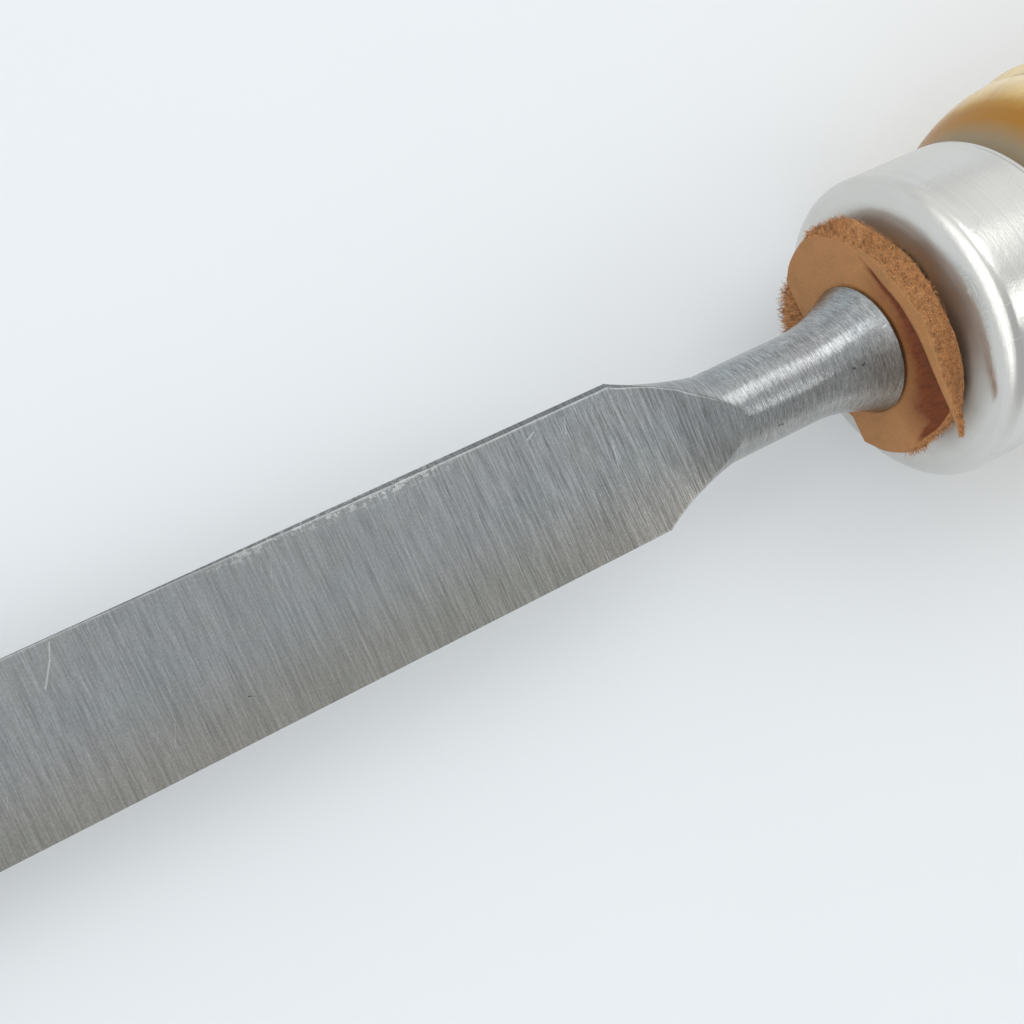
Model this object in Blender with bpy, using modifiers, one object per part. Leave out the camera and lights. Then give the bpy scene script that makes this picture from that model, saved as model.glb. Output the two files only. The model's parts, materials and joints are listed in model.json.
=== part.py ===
"""A bench chisel lying on its back: a ground steel blade, leather washers, a ferrule and a turned handle.

The tool is drawn along its own axis: 0 is the end of the bolster, the cutting edge is on the minus side
and the handle on the plus side. One empty then lays the whole tool down on the ground, at rest on its
cutting edge and on the fullest ring of the handle. Everything is in metres.
"""

import math

import bmesh
import bpy

# Driving dimensions of the blade forging
BLADE_WIDTH = 0.0120
BLADE_LENGTH = 0.1160
THICKNESS_AT_SHOULDER = 0.0038
THICKNESS_AT_TIP = 0.0032
BEVEL_ANGLE = math.radians(25)
SHOULDER_LENGTH = 0.0077
SHOULDER_EASE = 1.25
SHOULDER_ROUNDING = 0.4
NECK_DIAMETER = 0.0074
NECK_LENGTH = 0.0083
RUN_OUT_LENGTH = 0.0075
RUN_OUT_SETBACK = 0.0008
RUN_OUT_OVERCUT = 1.15
BOLSTER_DIAMETER = 0.0109
BOLSTER_FLARE_LENGTH = 0.0058
BOLSTER_FLARE_POWER = 2.2
BOLSTER_LAND = 0.0007
BOLSTER_EDGE = 0.0002
TANG_WIDTH = 0.0052
TANG_TIP_WIDTH = 0.0024
TANG_LENGTH = 0.0580

# Driving dimensions of the leather washers
FRONT_WASHER_DIAMETER = 0.0194
FRONT_WASHER_THICKNESS = 0.0011
REAR_WASHER_DIAMETER = 0.0176
REAR_WASHER_THICKNESS = 0.00125
WASHER_EDGE = 0.0003

# Driving dimensions of the ferrule
FERRULE_DIAMETER = 0.0259
FERRULE_LENGTH = 0.0100
FERRULE_WALL = 0.0012
FERRULE_LIP = 0.0016
FERRULE_REAR_EDGE = 0.0003
RIM_LINE_SETBACK = 0.0006
RIM_LINE_WIDTH = 0.00024
RIM_LINE_DEPTH = 0.00012

# Driving dimensions of the handle
HANDLE_SHOULDER_DIAMETER = 0.0206
BEAD_DIAMETER = 0.0312
BEAD_LENGTH = 0.0084
BEAD_POWER = 1.5
GROOVE_DEPTH = 0.00045
GROOVE_SETBACK = 0.0012
RING_DIAMETER = 0.0322
RING_RISE_LENGTH = 0.0020
WAIST_DIAMETER = 0.0276
WAIST_LENGTH = 0.0264
SWELL_DIAMETER = 0.0306
SWELL_LENGTH = 0.0380
HOOP_SHOULDER_LENGTH = 0.0150
CROWN_HEIGHT = 0.0032

# Driving dimensions of the striking hoop
HOOP_DIAMETER = 0.0276
HOOP_WALL = 0.0014
HOOP_WIDTH = 0.0080
HOOP_EDGE = 0.0004

# Clearances between pieces that touch
SEAT_GAP = 0.00015
FIT_GAP = 0.0003

# Fineness of the meshes
TURN_STEPS = 48
SECTION_POINTS = 40
ARC_POINTS = 6
BLEND_POINTS = 8
FLARE_POINTS = 6

# Places along the axis, worked out from the sizes
NECK_FRONT = -(BOLSTER_LAND + BOLSTER_FLARE_LENGTH + NECK_LENGTH)
SHOULDER = NECK_FRONT - SHOULDER_LENGTH
TIP = SHOULDER - BLADE_LENGTH
FRONT_WASHER_AT = SEAT_GAP
REAR_WASHER_AT = FRONT_WASHER_AT + FRONT_WASHER_THICKNESS + SEAT_GAP
FERRULE_AT = REAR_WASHER_AT + REAR_WASHER_THICKNESS + SEAT_GAP
FERRULE_END = FERRULE_AT + FERRULE_LENGTH
SPIGOT_AT = FERRULE_AT + FERRULE_WALL + SEAT_GAP
HANDLE_SHOULDER = FERRULE_END + SEAT_GAP
BEAD_TOP = HANDLE_SHOULDER + BEAD_LENGTH
GROOVE = BEAD_TOP + GROOVE_SETBACK
RING_TOP = GROOVE + RING_RISE_LENGTH
WAIST = RING_TOP + WAIST_LENGTH
SWELL = WAIST + SWELL_LENGTH
HOOP_AT = SWELL + HOOP_SHOULDER_LENGTH
HOOP_END = HOOP_AT + HOOP_WIDTH
HANDLE_END = HOOP_END + CROWN_HEIGHT

# Half sizes that several pieces share
NECK_RADIUS = NECK_DIAMETER / 2
TANG_HOLE_RADIUS = TANG_WIDTH / math.sqrt(2) + FIT_GAP
SPIGOT_RADIUS = FERRULE_DIAMETER / 2 - FERRULE_WALL - FIT_GAP
HOOP_SEAT_RADIUS = HOOP_DIAMETER / 2 - HOOP_WALL - FIT_GAP

# Colours, roughness and metallic value of each material
STEEL = ("ground_steel", (0.21, 0.215, 0.22), 0.38, 1.0)
LEATHER = ("tan_leather", (0.38, 0.19, 0.085), 0.75, 0.0)
DARK_LEATHER = ("tan_leather_rear", (0.42, 0.20, 0.08), 0.8, 0.0)
POLISHED = ("polished_ferrule", (0.60, 0.60, 0.59), 0.22, 1.0)
WOOD = ("lacquered_wood", (0.50, 0.28, 0.08), 0.25, 0.0)
HOOP_METAL = ("hoop_metal", (0.55, 0.55, 0.54), 0.3, 1.0)


def clear_scene():
    """Removes what the scene holds, so that only the chisel is in it."""
    for thing in list(bpy.data.objects):
        bpy.data.objects.remove(thing, do_unlink=True)


def new_collection(name):
    """A collection linked to the scene."""
    collection = bpy.data.collections.new(name)
    bpy.context.scene.collection.children.link(collection)
    return collection


def new_material(name, colour, roughness, metallic):
    """A Principled material with the piece's colour and finish."""
    material = bpy.data.materials.new(name)
    material.use_nodes = True
    shader = material.node_tree.nodes["Principled BSDF"]
    shader.inputs["Base Color"].default_value = (*colour, 1.0)
    shader.inputs["Roughness"].default_value = roughness
    shader.inputs["Metallic"].default_value = metallic
    material.diffuse_color = (*colour, 1.0)
    return material


def object_from(name, cage, collection, parent):
    """Turns a bmesh into a named object under the parent."""
    mesh = bpy.data.meshes.new(name)
    cage.to_mesh(mesh)
    cage.free()
    piece = bpy.data.objects.new(name, mesh)
    collection.objects.link(piece)
    piece.parent = parent
    return piece


def eased(start, end, share):
    """A smooth step from start to end."""
    return start + (end - start) * (3 - 2 * share) * share * share


def shares(count):
    """Evenly spaced shares above 0, up to and with 1."""
    return [step / count for step in range(1, count + 1)]


def corner(along, radius, size, start, end):
    """Points of a rounded corner about (along, radius), from one angle in degrees to another."""
    angles = [start + (end - start) * step / ARC_POINTS for step in range(ARC_POINTS + 1)]
    return [
        (along + size * math.cos(math.radians(angle)), radius + size * math.sin(math.radians(angle)))
        for angle in angles
    ]


def turned_piece(name, outline, closed, collection, parent, material):
    """A solid turned about the tool's axis from (along, radius) points that run from rear to front."""
    cage = bmesh.new()
    points = [cage.verts.new((radius, 0, along)) for along, radius in outline]
    for first, second in zip(points, points[1:]):
        cage.edges.new((first, second))
    if closed:
        cage.edges.new((points[-1], points[0]))
    piece = object_from(name, cage, collection, parent)
    piece.rotation_euler = (0, math.pi / 2, 0)
    screw = piece.modifiers.new("turn", "SCREW")
    screw.axis = "Z"
    screw.steps = TURN_STEPS
    screw.render_steps = TURN_STEPS
    screw.use_merge_vertices = True
    screw.merge_threshold = 0.00001
    screw.use_smooth_shade = True
    piece.data.materials.append(material)
    return piece


def section_ring(cage, along, half_width, half_height, roundness):
    """One ring of the forging: 0 is a rectangle, 1 an ellipse, and between them the corners fill out."""
    ring = []
    for step in range(SECTION_POINTS):
        angle = 2 * math.pi * step / SECTION_POINTS
        across, up = math.cos(angle), math.sin(angle)
        reach = roundness + (1 - roundness) / max(abs(across), abs(up))
        ring.append(cage.verts.new((along, half_width * across * reach, half_height * up * reach)))
    return ring


def forging_sections():
    """Stations of the forging from tip to tang: place, half width, half height and roundness."""
    half_width = BLADE_WIDTH / 2
    sections = [(TIP - THICKNESS_AT_TIP, half_width, NECK_RADIUS, 0), (SHOULDER, half_width, NECK_RADIUS, 0)]
    for share in shares(BLEND_POINTS):
        width = NECK_RADIUS + (half_width - NECK_RADIUS) * (1 - share) ** SHOULDER_EASE
        roundness = eased(0, 1, share) ** SHOULDER_ROUNDING
        sections.append((SHOULDER + SHOULDER_LENGTH * share, width, NECK_RADIUS, roundness))
    flare_start = -BOLSTER_LAND - BOLSTER_FLARE_LENGTH
    sections.append((flare_start, NECK_RADIUS, NECK_RADIUS, 1))
    bolster_radius = BOLSTER_DIAMETER / 2
    for share in shares(FLARE_POINTS):
        radius = NECK_RADIUS + (bolster_radius - NECK_RADIUS) * share**BOLSTER_FLARE_POWER
        sections.append((flare_start + BOLSTER_FLARE_LENGTH * share, radius, radius, 1))
    sections.append((-BOLSTER_EDGE, bolster_radius, bolster_radius, 1))
    sections.append((0, bolster_radius - BOLSTER_EDGE, bolster_radius - BOLSTER_EDGE, 1))
    sections.append((0, TANG_WIDTH / 2, TANG_WIDTH / 2, 0))
    sections.append((TANG_LENGTH, TANG_TIP_WIDTH / 2, TANG_TIP_WIDTH / 2, 0))
    return sections


def grind_outline(side):
    """Side view of what is ground off one face: flat along the blade, then a round run-out up the neck."""
    flat_end = SHOULDER + RUN_OUT_SETBACK
    rise = NECK_RADIUS - THICKNESS_AT_SHOULDER / 2
    run_out_radius = (RUN_OUT_LENGTH**2 + rise**2) / (2 * rise)
    start = TIP - 2 * THICKNESS_AT_TIP
    taper = (THICKNESS_AT_SHOULDER - THICKNESS_AT_TIP) / 2 / (flat_end - TIP)
    last_angle = math.asin(RUN_OUT_LENGTH / run_out_radius) * RUN_OUT_OVERCUT
    outline = [(start, THICKNESS_AT_TIP / 2 - taper * (TIP - start))]
    for step in range(BLEND_POINTS + 1):
        angle = last_angle * step / BLEND_POINTS
        lift = run_out_radius * (1 - math.cos(angle))
        outline.append((flat_end + run_out_radius * math.sin(angle), THICKNESS_AT_SHOULDER / 2 + lift))
    clear_height = 2 * NECK_DIAMETER
    outline.append((outline[-1][0], clear_height))
    outline.append((start, clear_height))
    return [(along, side * up) for along, up in outline]


def bevel_outline():
    """Side view of what is ground off at the cutting edge."""
    slope = math.tan(BEVEL_ANGLE)
    edge = -THICKNESS_AT_TIP / 2
    before = 2 * THICKNESS_AT_TIP
    after = 2 * NECK_DIAMETER / slope
    low = (TIP - before, edge - before * slope)
    high = (TIP + after, edge + after * slope)
    return [low, high, (TIP - before, edge + after * slope)]


def grinding_cutter(name, outline, collection, parent):
    """A cutter with the given side view, wider than the blade."""
    cage = bmesh.new()
    reach = BLADE_WIDTH
    side = cage.faces.new([cage.verts.new((along, -reach, up)) for along, up in outline])
    swept = bmesh.ops.extrude_face_region(cage, geom=[side])["geom"]
    moved = [part for part in swept if isinstance(part, bmesh.types.BMVert)]
    bmesh.ops.translate(cage, verts=moved, vec=(0, 2 * reach, 0))
    bmesh.ops.recalc_face_normals(cage, faces=cage.faces)
    cutter = object_from(name, cage, collection, parent)
    hide_cutter(cutter)
    return cutter


def hide_cutter(cutter):
    """Shows a cutter as wire and keeps it out of renders."""
    cutter.hide_render = True
    cutter.display_type = "WIRE"


def cut(piece, cutter):
    """Subtracts a cutter from a piece."""
    modifier = piece.modifiers.new(cutter.name, "BOOLEAN")
    modifier.operation = "DIFFERENCE"
    modifier.solver = "EXACT"
    modifier.object = cutter


def make_blade_forging(parts, cutters, parent):
    """Lofts the forging from tip to tang, then grinds its two faces and the bevel."""
    cage = bmesh.new()
    rings = [section_ring(cage, *section) for section in forging_sections()]
    for front, rear in zip(rings, rings[1:]):
        for step in range(SECTION_POINTS):
            after = (step + 1) % SECTION_POINTS
            cage.faces.new((front[step], front[after], rear[after], rear[step]))
    cage.faces.new(rings[0])
    cage.faces.new(list(reversed(rings[-1])))
    bmesh.ops.recalc_face_normals(cage, faces=cage.faces)
    forging = object_from("blade_forging", cage, parts, parent)
    forging.data.materials.append(new_material(*STEEL))
    cut(forging, grinding_cutter("face_grind", grind_outline(1), cutters, parent))
    cut(forging, grinding_cutter("back_grind", grind_outline(-1), cutters, parent))
    cut(forging, grinding_cutter("bevel_grind", bevel_outline(), cutters, parent))
    forging.data.shade_smooth()
    forging.data.set_sharp_from_angle(angle=math.radians(30))
    return forging


def make_washer(name, at, thickness, diameter, look, parts, parent):
    """A leather ring with eased edges, its hole clear of the tang."""
    outer = diameter / 2
    front, rear = at, at + thickness
    outline = [
        (rear, TANG_HOLE_RADIUS),
        (rear, outer - WASHER_EDGE),
        (rear - WASHER_EDGE, outer),
        (front + WASHER_EDGE, outer),
        (front, outer - WASHER_EDGE),
        (front, TANG_HOLE_RADIUS),
    ]
    return turned_piece(name, outline, True, parts, parent, new_material(*look))


def make_ferrule(parts, parent):
    """A cup with a rounded front lip, a fine line near its rear rim and a hole for the tang."""
    outer = FERRULE_DIAMETER / 2
    inner = outer - FERRULE_WALL
    line = FERRULE_END - RIM_LINE_SETBACK
    outline = [
        (FERRULE_END, inner),
        (FERRULE_END, outer - FERRULE_REAR_EDGE),
        (FERRULE_END - FERRULE_REAR_EDGE, outer),
        (line + RIM_LINE_WIDTH / 2, outer),
        (line, outer - RIM_LINE_DEPTH),
        (line - RIM_LINE_WIDTH / 2, outer),
    ]
    outline += corner(FERRULE_AT + FERRULE_LIP, outer - FERRULE_LIP, FERRULE_LIP, 90, 180)
    outline += [
        (FERRULE_AT, TANG_HOLE_RADIUS),
        (FERRULE_AT + FERRULE_WALL, TANG_HOLE_RADIUS),
        (FERRULE_AT + FERRULE_WALL, inner - FERRULE_LIP + FERRULE_WALL),
        (FERRULE_AT + FERRULE_LIP, inner),
    ]
    return turned_piece("ferrule", outline, True, parts, parent, new_material(*POLISHED))


def handle_outline():
    """Half outline of the handle, from the crown at the struck end to the spigot inside the ferrule."""
    outline = [(HANDLE_END, 0)]
    for share in shares(ARC_POINTS):
        angle = share * math.pi / 2
        outline.append((HOOP_END + CROWN_HEIGHT * math.cos(angle), HOOP_SEAT_RADIUS * math.sin(angle)))
    seat_end = HOOP_AT - SEAT_GAP
    outline.append((seat_end, HOOP_SEAT_RADIUS))
    hoop_shoulder = HOOP_DIAMETER / 2 - HOOP_EDGE
    groove = BEAD_DIAMETER / 2 - GROOVE_DEPTH
    for start, end, length, place in (
        (hoop_shoulder, SWELL_DIAMETER / 2, HOOP_SHOULDER_LENGTH, SWELL),
        (SWELL_DIAMETER / 2, WAIST_DIAMETER / 2, SWELL_LENGTH, WAIST),
        (WAIST_DIAMETER / 2, RING_DIAMETER / 2, WAIST_LENGTH, RING_TOP),
        (RING_DIAMETER / 2, groove, RING_RISE_LENGTH, GROOVE),
        (groove, BEAD_DIAMETER / 2, GROOVE_SETBACK, BEAD_TOP),
    ):
        for share in [0, *shares(BLEND_POINTS)]:
            outline.append((min(place + length * (1 - share), seat_end), eased(start, end, share)))
    rise = (BEAD_DIAMETER - HANDLE_SHOULDER_DIAMETER) / 2
    for share in shares(BLEND_POINTS):
        angle = share * math.pi / 2
        along = HANDLE_SHOULDER + BEAD_LENGTH * (1 - math.sin(angle) ** (2 / BEAD_POWER))
        outline.append((along, HANDLE_SHOULDER_DIAMETER / 2 + rise * abs(math.cos(angle)) ** (2 / BEAD_POWER)))
    outline += [(HANDLE_SHOULDER, SPIGOT_RADIUS), (SPIGOT_AT + FERRULE_LIP, SPIGOT_RADIUS)]
    outline += [(SPIGOT_AT, SPIGOT_RADIUS - FERRULE_LIP), (SPIGOT_AT, 0)]
    return [point for index, point in enumerate(outline) if index == 0 or point != outline[index - 1]]


def make_handle(parts, cutters, parent):
    """The turned handle, bored square for the tang."""
    handle = turned_piece("handle", handle_outline(), False, parts, parent, new_material(*WOOD))
    cage = bmesh.new()
    taper = (TANG_WIDTH - TANG_TIP_WIDTH) / TANG_LENGTH
    start, end = 0, TANG_LENGTH + FIT_GAP
    half_start = TANG_WIDTH / 2 + FIT_GAP
    half_end = half_start - taper * (end - start) / 2
    bmesh.ops.create_cone(
        cage,
        cap_ends=True,
        segments=4,
        radius1=half_start * math.sqrt(2),
        radius2=half_end * math.sqrt(2),
        depth=end - start,
    )
    bore = object_from("tang_bore", cage, cutters, handle)
    bore.location = (0, 0, (start + end) / 2)
    bore.rotation_euler = (0, 0, math.pi / 4)
    hide_cutter(bore)
    cut(handle, bore)
    return handle


def make_striking_hoop(parts, parent):
    """The metal ring that keeps the struck end of the handle from splitting."""
    outer = HOOP_DIAMETER / 2
    inner = outer - HOOP_WALL
    outline = [
        (HOOP_END, inner),
        (HOOP_END, outer - HOOP_EDGE),
        (HOOP_END - HOOP_EDGE, outer),
        (HOOP_AT + HOOP_EDGE, outer),
        (HOOP_AT, outer - HOOP_EDGE),
        (HOOP_AT, inner),
    ]
    return turned_piece("striking_hoop", outline, True, parts, parent, new_material(*HOOP_METAL))


def lay_down(axis):
    """Lays the tool on its cutting edge and its handle, with the middle of its box over the origin."""
    edge = THICKNESS_AT_TIP / 2
    outline = [point for point in handle_outline() if point[0] >= HANDLE_SHOULDER]
    outline += [(HOOP_AT + HOOP_EDGE, HOOP_DIAMETER / 2), (HOOP_END - HOOP_EDGE, HOOP_DIAMETER / 2)]
    outline.append((FERRULE_END - FERRULE_REAR_EDGE, FERRULE_DIAMETER / 2))
    tilt = max(math.atan2(radius - edge, along - TIP) for along, radius in outline)
    tip_at = TIP * math.cos(tilt) + edge * math.sin(tilt)
    rear_at = max(along * math.cos(tilt) + radius * math.sin(tilt) for along, radius in outline)
    axis.rotation_euler = (0, -tilt, 0)
    axis.location = (-(tip_at + rear_at) / 2, 0, edge * math.cos(tilt) - TIP * math.sin(tilt))


def main():
    clear_scene()
    parts = new_collection("bench_chisel")
    cutters = new_collection("cutters")
    axis = bpy.data.objects.new("tool_axis", None)
    parts.objects.link(axis)
    lay_down(axis)
    make_blade_forging(parts, cutters, axis)
    make_washer(
        "front_leather_washer",
        FRONT_WASHER_AT,
        FRONT_WASHER_THICKNESS,
        FRONT_WASHER_DIAMETER,
        LEATHER,
        parts,
        axis,
    )
    make_washer(
        "rear_leather_washer",
        REAR_WASHER_AT,
        REAR_WASHER_THICKNESS,
        REAR_WASHER_DIAMETER,
        DARK_LEATHER,
        parts,
        axis,
    )
    make_ferrule(parts, axis)
    make_handle(parts, cutters, axis)
    make_striking_hoop(parts, axis)


main()
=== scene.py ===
"""Looks of a bench chisel, laid out as an add-on and run as a script.

Each piece is drawn along the tool's own axis: 0 is the end of the bolster, the cutting edge is on the
minus side, the handle on the plus side, and the ground face of the blade looks up. A finished mesh is
then laid where the frame holds the blade. Lengths are in metres.
"""

import functools
import json
import math
import random

import bpy
from mathutils import Matrix, Vector, noise


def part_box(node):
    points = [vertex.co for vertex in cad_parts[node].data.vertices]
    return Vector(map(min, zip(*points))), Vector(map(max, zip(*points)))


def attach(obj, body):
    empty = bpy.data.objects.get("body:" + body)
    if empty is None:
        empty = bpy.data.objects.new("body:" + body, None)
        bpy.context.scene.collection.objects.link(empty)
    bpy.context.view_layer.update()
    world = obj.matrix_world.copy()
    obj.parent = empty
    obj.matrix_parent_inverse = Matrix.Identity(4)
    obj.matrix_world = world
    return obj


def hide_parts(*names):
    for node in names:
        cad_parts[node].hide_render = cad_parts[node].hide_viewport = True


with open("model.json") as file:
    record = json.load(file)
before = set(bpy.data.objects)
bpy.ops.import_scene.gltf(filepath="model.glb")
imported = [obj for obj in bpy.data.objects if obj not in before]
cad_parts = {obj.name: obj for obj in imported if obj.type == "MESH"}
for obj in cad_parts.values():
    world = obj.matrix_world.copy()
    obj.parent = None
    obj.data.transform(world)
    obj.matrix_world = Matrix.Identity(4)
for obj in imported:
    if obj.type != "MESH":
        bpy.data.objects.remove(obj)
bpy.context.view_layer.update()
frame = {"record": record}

bl_info = {
    "name": "Bench chisel",
    "version": (1, 0, 0),
    "blender": (4, 5, 0),
    "location": "3D View > Sidebar > Chisel",
    "description": "Models a bench chisel with leather washers round its frame",
    "category": "Add Mesh",
}

# A millimetre, and the gap under which points are merged
MM = 0.001
WELD = 0.000001
TURNING_STEPS = 144


def number(name, default, description, **limits):
    """A number that a user may change."""
    return bpy.props.FloatProperty(name=name, description=description, default=default, **limits)


def size(name, default, description):
    """A length that a user may change."""
    return number(name, default, description, min=0.0, unit="LENGTH", precision=5)


def paint(name, default, description):
    """A colour that a user may change."""
    return bpy.props.FloatVectorProperty(
        name=name, description=description, default=default, size=3, min=0.0, max=1.0, subtype="COLOR"
    )


def settings_of(kind, name, description):
    """A set of settings inside another."""
    return bpy.props.PointerProperty(type=kind, name=name, description=description)


def across(node):
    """Width of a solid of the frame from side to side."""
    low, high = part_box(node)
    return high.y - low.y


class BladeSettings(bpy.types.PropertyGroup):
    """Sizes and colours of the blade forging"""

    width: size("Width", 0.012, "Width of the ground face")
    length: size("Length", 0.116, "Cutting edge to shoulder")
    thickness_at_shoulder: size("Thickness at shoulder", 0.0038, "Thickness where the shoulder begins")
    thickness_at_tip: size("Thickness at tip", 0.0032, "Thickness behind the cutting edge")
    bevel_angle: number("Bevel angle", math.radians(25), "Angle of the cutting bevel", subtype="ANGLE")
    shoulder_length: size("Shoulder length", 0.0077, "Length over which the blade narrows to the neck")
    shoulder_ease: number("Shoulder ease", 1.25, "How hollow the shoulders are", min=1.0)
    shoulder_rounding: number("Shoulder rounding", 0.4, "How late the shoulders turn round")
    neck_diameter: size("Neck diameter", 0.0074, "Diameter of the round neck")
    neck_length: size("Neck length", 0.0083, "Length of the straight neck")
    run_out_length: size("Run-out length", 0.0075, "Length of the round end of the ground face")
    run_out_setback: size("Run-out setback", 0.0008, "Shoulder to the start of the run-out")
    run_out_lean: number("Run-out lean", 0.28, "Sideways slope at the end of the run-out")
    bolster_diameter: size("Bolster diameter", 0.0109, "Diameter at the end of the bolster")
    flare_length: size("Flare length", 0.0062, "Length of the flare from neck to bolster")
    flare_power: number("Flare power", 2.0, "How late the flare opens", min=1.0)
    bolster_land: size("Bolster land", 0.0003, "Straight length at the end of the bolster")
    bolster_edge: size("Bolster edge", 0.0002, "Rounding of the end of the bolster")
    tang_width: size("Tang width", 0.0052, "Width of the tang at the bolster")
    tang_tip_width: size("Tang tip width", 0.0024, "Width of the tang at its end")
    tang_length: size("Tang length", 0.058, "Length of the tang inside the handle")
    far_chamfer: size("Far chamfer", 0.00036, "Width of the chamfer along the far edge, at the shoulder")
    near_chamfer: size("Near chamfer", 0.00004, "Width of the chamfer along the near edge")
    steel: paint("Steel", (0.39, 0.40, 0.405), "Colour of the ground steel")


class LeatherSettings(bpy.types.PropertyGroup):
    """Sizes and colours of the leather washers"""

    hole: size("Hole", 0.0041, "Radius of the hole for the tang")
    front_at: size("Front face", 0.0001, "Place of the front washer's face along the axis")
    front_thickness: size("Front thickness", 0.0012, "Thickness of the front washer")
    rear_at: size("Rear face", 0.00135, "Place of the rear washer's face along the axis")
    rear_thickness: size("Rear thickness", 0.0013, "Thickness of the rear washer")
    fibres: bpy.props.IntProperty(name="Fibres", description="Number of loose fibres", default=5200, min=0)
    tan: paint("Tan", (0.43, 0.213, 0.085), "Colour of the smooth side")
    edge: paint("Cut edge", (0.42, 0.205, 0.083), "Colour of the cut edges")
    # The stain colour is a real stain in the fold. It also paints the shade in the fold, along the crease and
    # on the rear washer.
    stain_and_shade: paint("Stain", (0.125, 0.031, 0.008), "Colour of the darkened fold")


class FerruleSettings(bpy.types.PropertyGroup):
    """Sizes and colour of the ferrule"""

    at: size("Front", 0.0028, "Place of the front of the ferrule along the axis")
    diameter: size("Diameter", across("ferrule"), "Outside diameter")
    length: size("Length", 0.010, "Length along the axis")
    wall: size("Wall", 0.0012, "Thickness of the wall")
    lip: size("Lip", 0.0016, "Length of the rounded front lip along the axis")
    lip_reach: size("Lip reach", 0.0030, "How far the rounded lip comes in over the front")
    rear_edge: size("Rear edge", 0.0003, "Rounding of the rear rim")
    rim_line_setback: size("Rim line setback", 0.0006, "Rear rim to the fine turned line")
    rim_line_width: size("Rim line width", 0.00024, "Width of the fine turned line")
    rim_line_depth: size("Rim line depth", 0.00012, "Depth of the fine turned line")
    metal: paint("Metal", (0.685, 0.675, 0.643), "Colour of the polished metal")


class HandleSettings(bpy.types.PropertyGroup):
    """Sizes and colours of the handle"""

    at: size("Front", 0.01295, "Place where the wood leaves the ferrule")
    shoulder_diameter: size("Shoulder diameter", 0.0206, "Diameter where the wood leaves the ferrule")
    bead_diameter: size("Bead diameter", 0.0312, "Diameter of the front bead")
    bead_length: size("Bead length", 0.0084, "Ferrule to the top of the bead")
    bead_power: number("Bead power", 1.5, "How full the front of the bead is", min=1.0)
    groove_depth: size("Groove depth", 0.00045, "Depth of the groove behind the bead")
    groove_setback: size("Groove setback", 0.0012, "Top of the bead to the groove")
    ring_diameter: size("Ring diameter", across("handle"), "Diameter of the fullest ring, behind the groove")
    ring_rise_length: size("Ring rise", 0.002, "Groove to the fullest ring")
    waist_diameter: size("Waist diameter", 0.0276, "Diameter of the waist")
    waist_length: size("Waist length", 0.0264, "Fullest ring to the waist")
    swell_diameter: size("Swell diameter", 0.0306, "Diameter of the rear swell")
    swell_length: size("Swell length", 0.038, "Waist to the rear swell")
    hoop_shoulder_length: size("Hoop shoulder length", 0.015, "Rear swell to the hoop")
    crown_height: size("Crown height", 0.0032, "Height of the struck crown behind the hoop")
    honey: paint("Honey", (0.36, 0.19, 0.036), "Colour of the wood's darker streaks")
    straw: paint("Straw", (0.56, 0.355, 0.09), "Colour of the wood's paler streaks")
    amber: paint("Amber", (0.31, 0.14, 0.014), "Colour of the lacquer pooled in front of the bead")
    # Painted highlight: colour of the pale band over the bead's crest.
    crest_highlight: paint("Crest", (0.74, 0.62, 0.40), "Colour of the bead where the lacquer has worn thin")
    joint: paint("Joint", (0.24, 0.205, 0.14), "Colour of the wood where it leaves the ferrule")


class HoopSettings(bpy.types.PropertyGroup):
    """Sizes and colour of the striking hoop"""

    diameter: size("Diameter", across("striking_hoop"), "Outside diameter")
    wall: size("Wall", 0.0014, "Thickness of the wall")
    width: size("Width", 0.008, "Width along the axis")
    edge: size("Edge", 0.0004, "Rounding of the edges")
    seat_gap: size("Seat gap", 0.0003, "Gap between the hoop and the wood")
    metal: paint("Metal", (0.52, 0.52, 0.51), "Colour of the worn metal")


class StageSettings(bpy.types.PropertyGroup):
    """Floor, light and camera"""

    floor: paint("Floor", (0.80, 0.83, 0.855), "Colour of the pale floor")
    open_floor: paint("Open floor", (0.845, 0.877, 0.89), "Colour that the floor has in full light")
    shadow_fill: number("Shadow fill", 0.2, "Share by which shadows are lightened", min=0.0, max=1.0)
    backdrop: paint("Backdrop", (0.56, 0.585, 0.60), "Colour behind the floor")
    key_power: number("Key power", 0.42, "Power that both lamps follow", min=0.0, unit="POWER")
    sky: number("Sky", 1.34, "Strength of the light from all round", min=0.0)
    lens: number("Lens", 43.945, "Focal length in millimetres")


class ChiselSettings(bpy.types.PropertyGroup):
    """All sizes and colours of the chisel"""

    blade: settings_of(BladeSettings, "Blade", "Blade forging")
    leather: settings_of(LeatherSettings, "Leather", "Leather washers")
    ferrule: settings_of(FerruleSettings, "Ferrule", "Ferrule")
    handle: settings_of(HandleSettings, "Handle", "Handle")
    hoop: settings_of(HoopSettings, "Hoop", "Striking hoop")
    stage: settings_of(StageSettings, "Stage", "Floor, light and camera")


def tool_frame(blade):
    """Matrix of the tool's own axes, from the two faces of the blade that the frame's record names."""
    mounts = {mount["name"]: mount for mount in frame["record"]["mounts"]}
    face, back = mounts["blade_face"], mounts["blade_back"]
    up = (Vector(face["axis"]) - Vector(back["axis"])).normalized()
    side = Vector((0, 1, 0))
    along = side.cross(up)
    middle = (Vector(face["pos_m"]) + Vector(back["pos_m"])) / 2
    shoulder = -(blade.bolster_land + blade.flare_length + blade.neck_length + blade.shoulder_length)
    origin = middle - along * (shoulder - blade.length / 2)
    lying = Matrix((along, side, up)).transposed().to_4x4()
    lying.translation = origin
    return lying


def smooth(share):
    """A smooth step from 0 to 1."""
    share = min(1.0, max(0.0, share))
    return share * share * (3 - 2 * share)


def between(first, last, count):
    """Evenly spaced values from first to last."""
    return [first + (last - first) * step / (count - 1) for step in range(count)]


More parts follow.
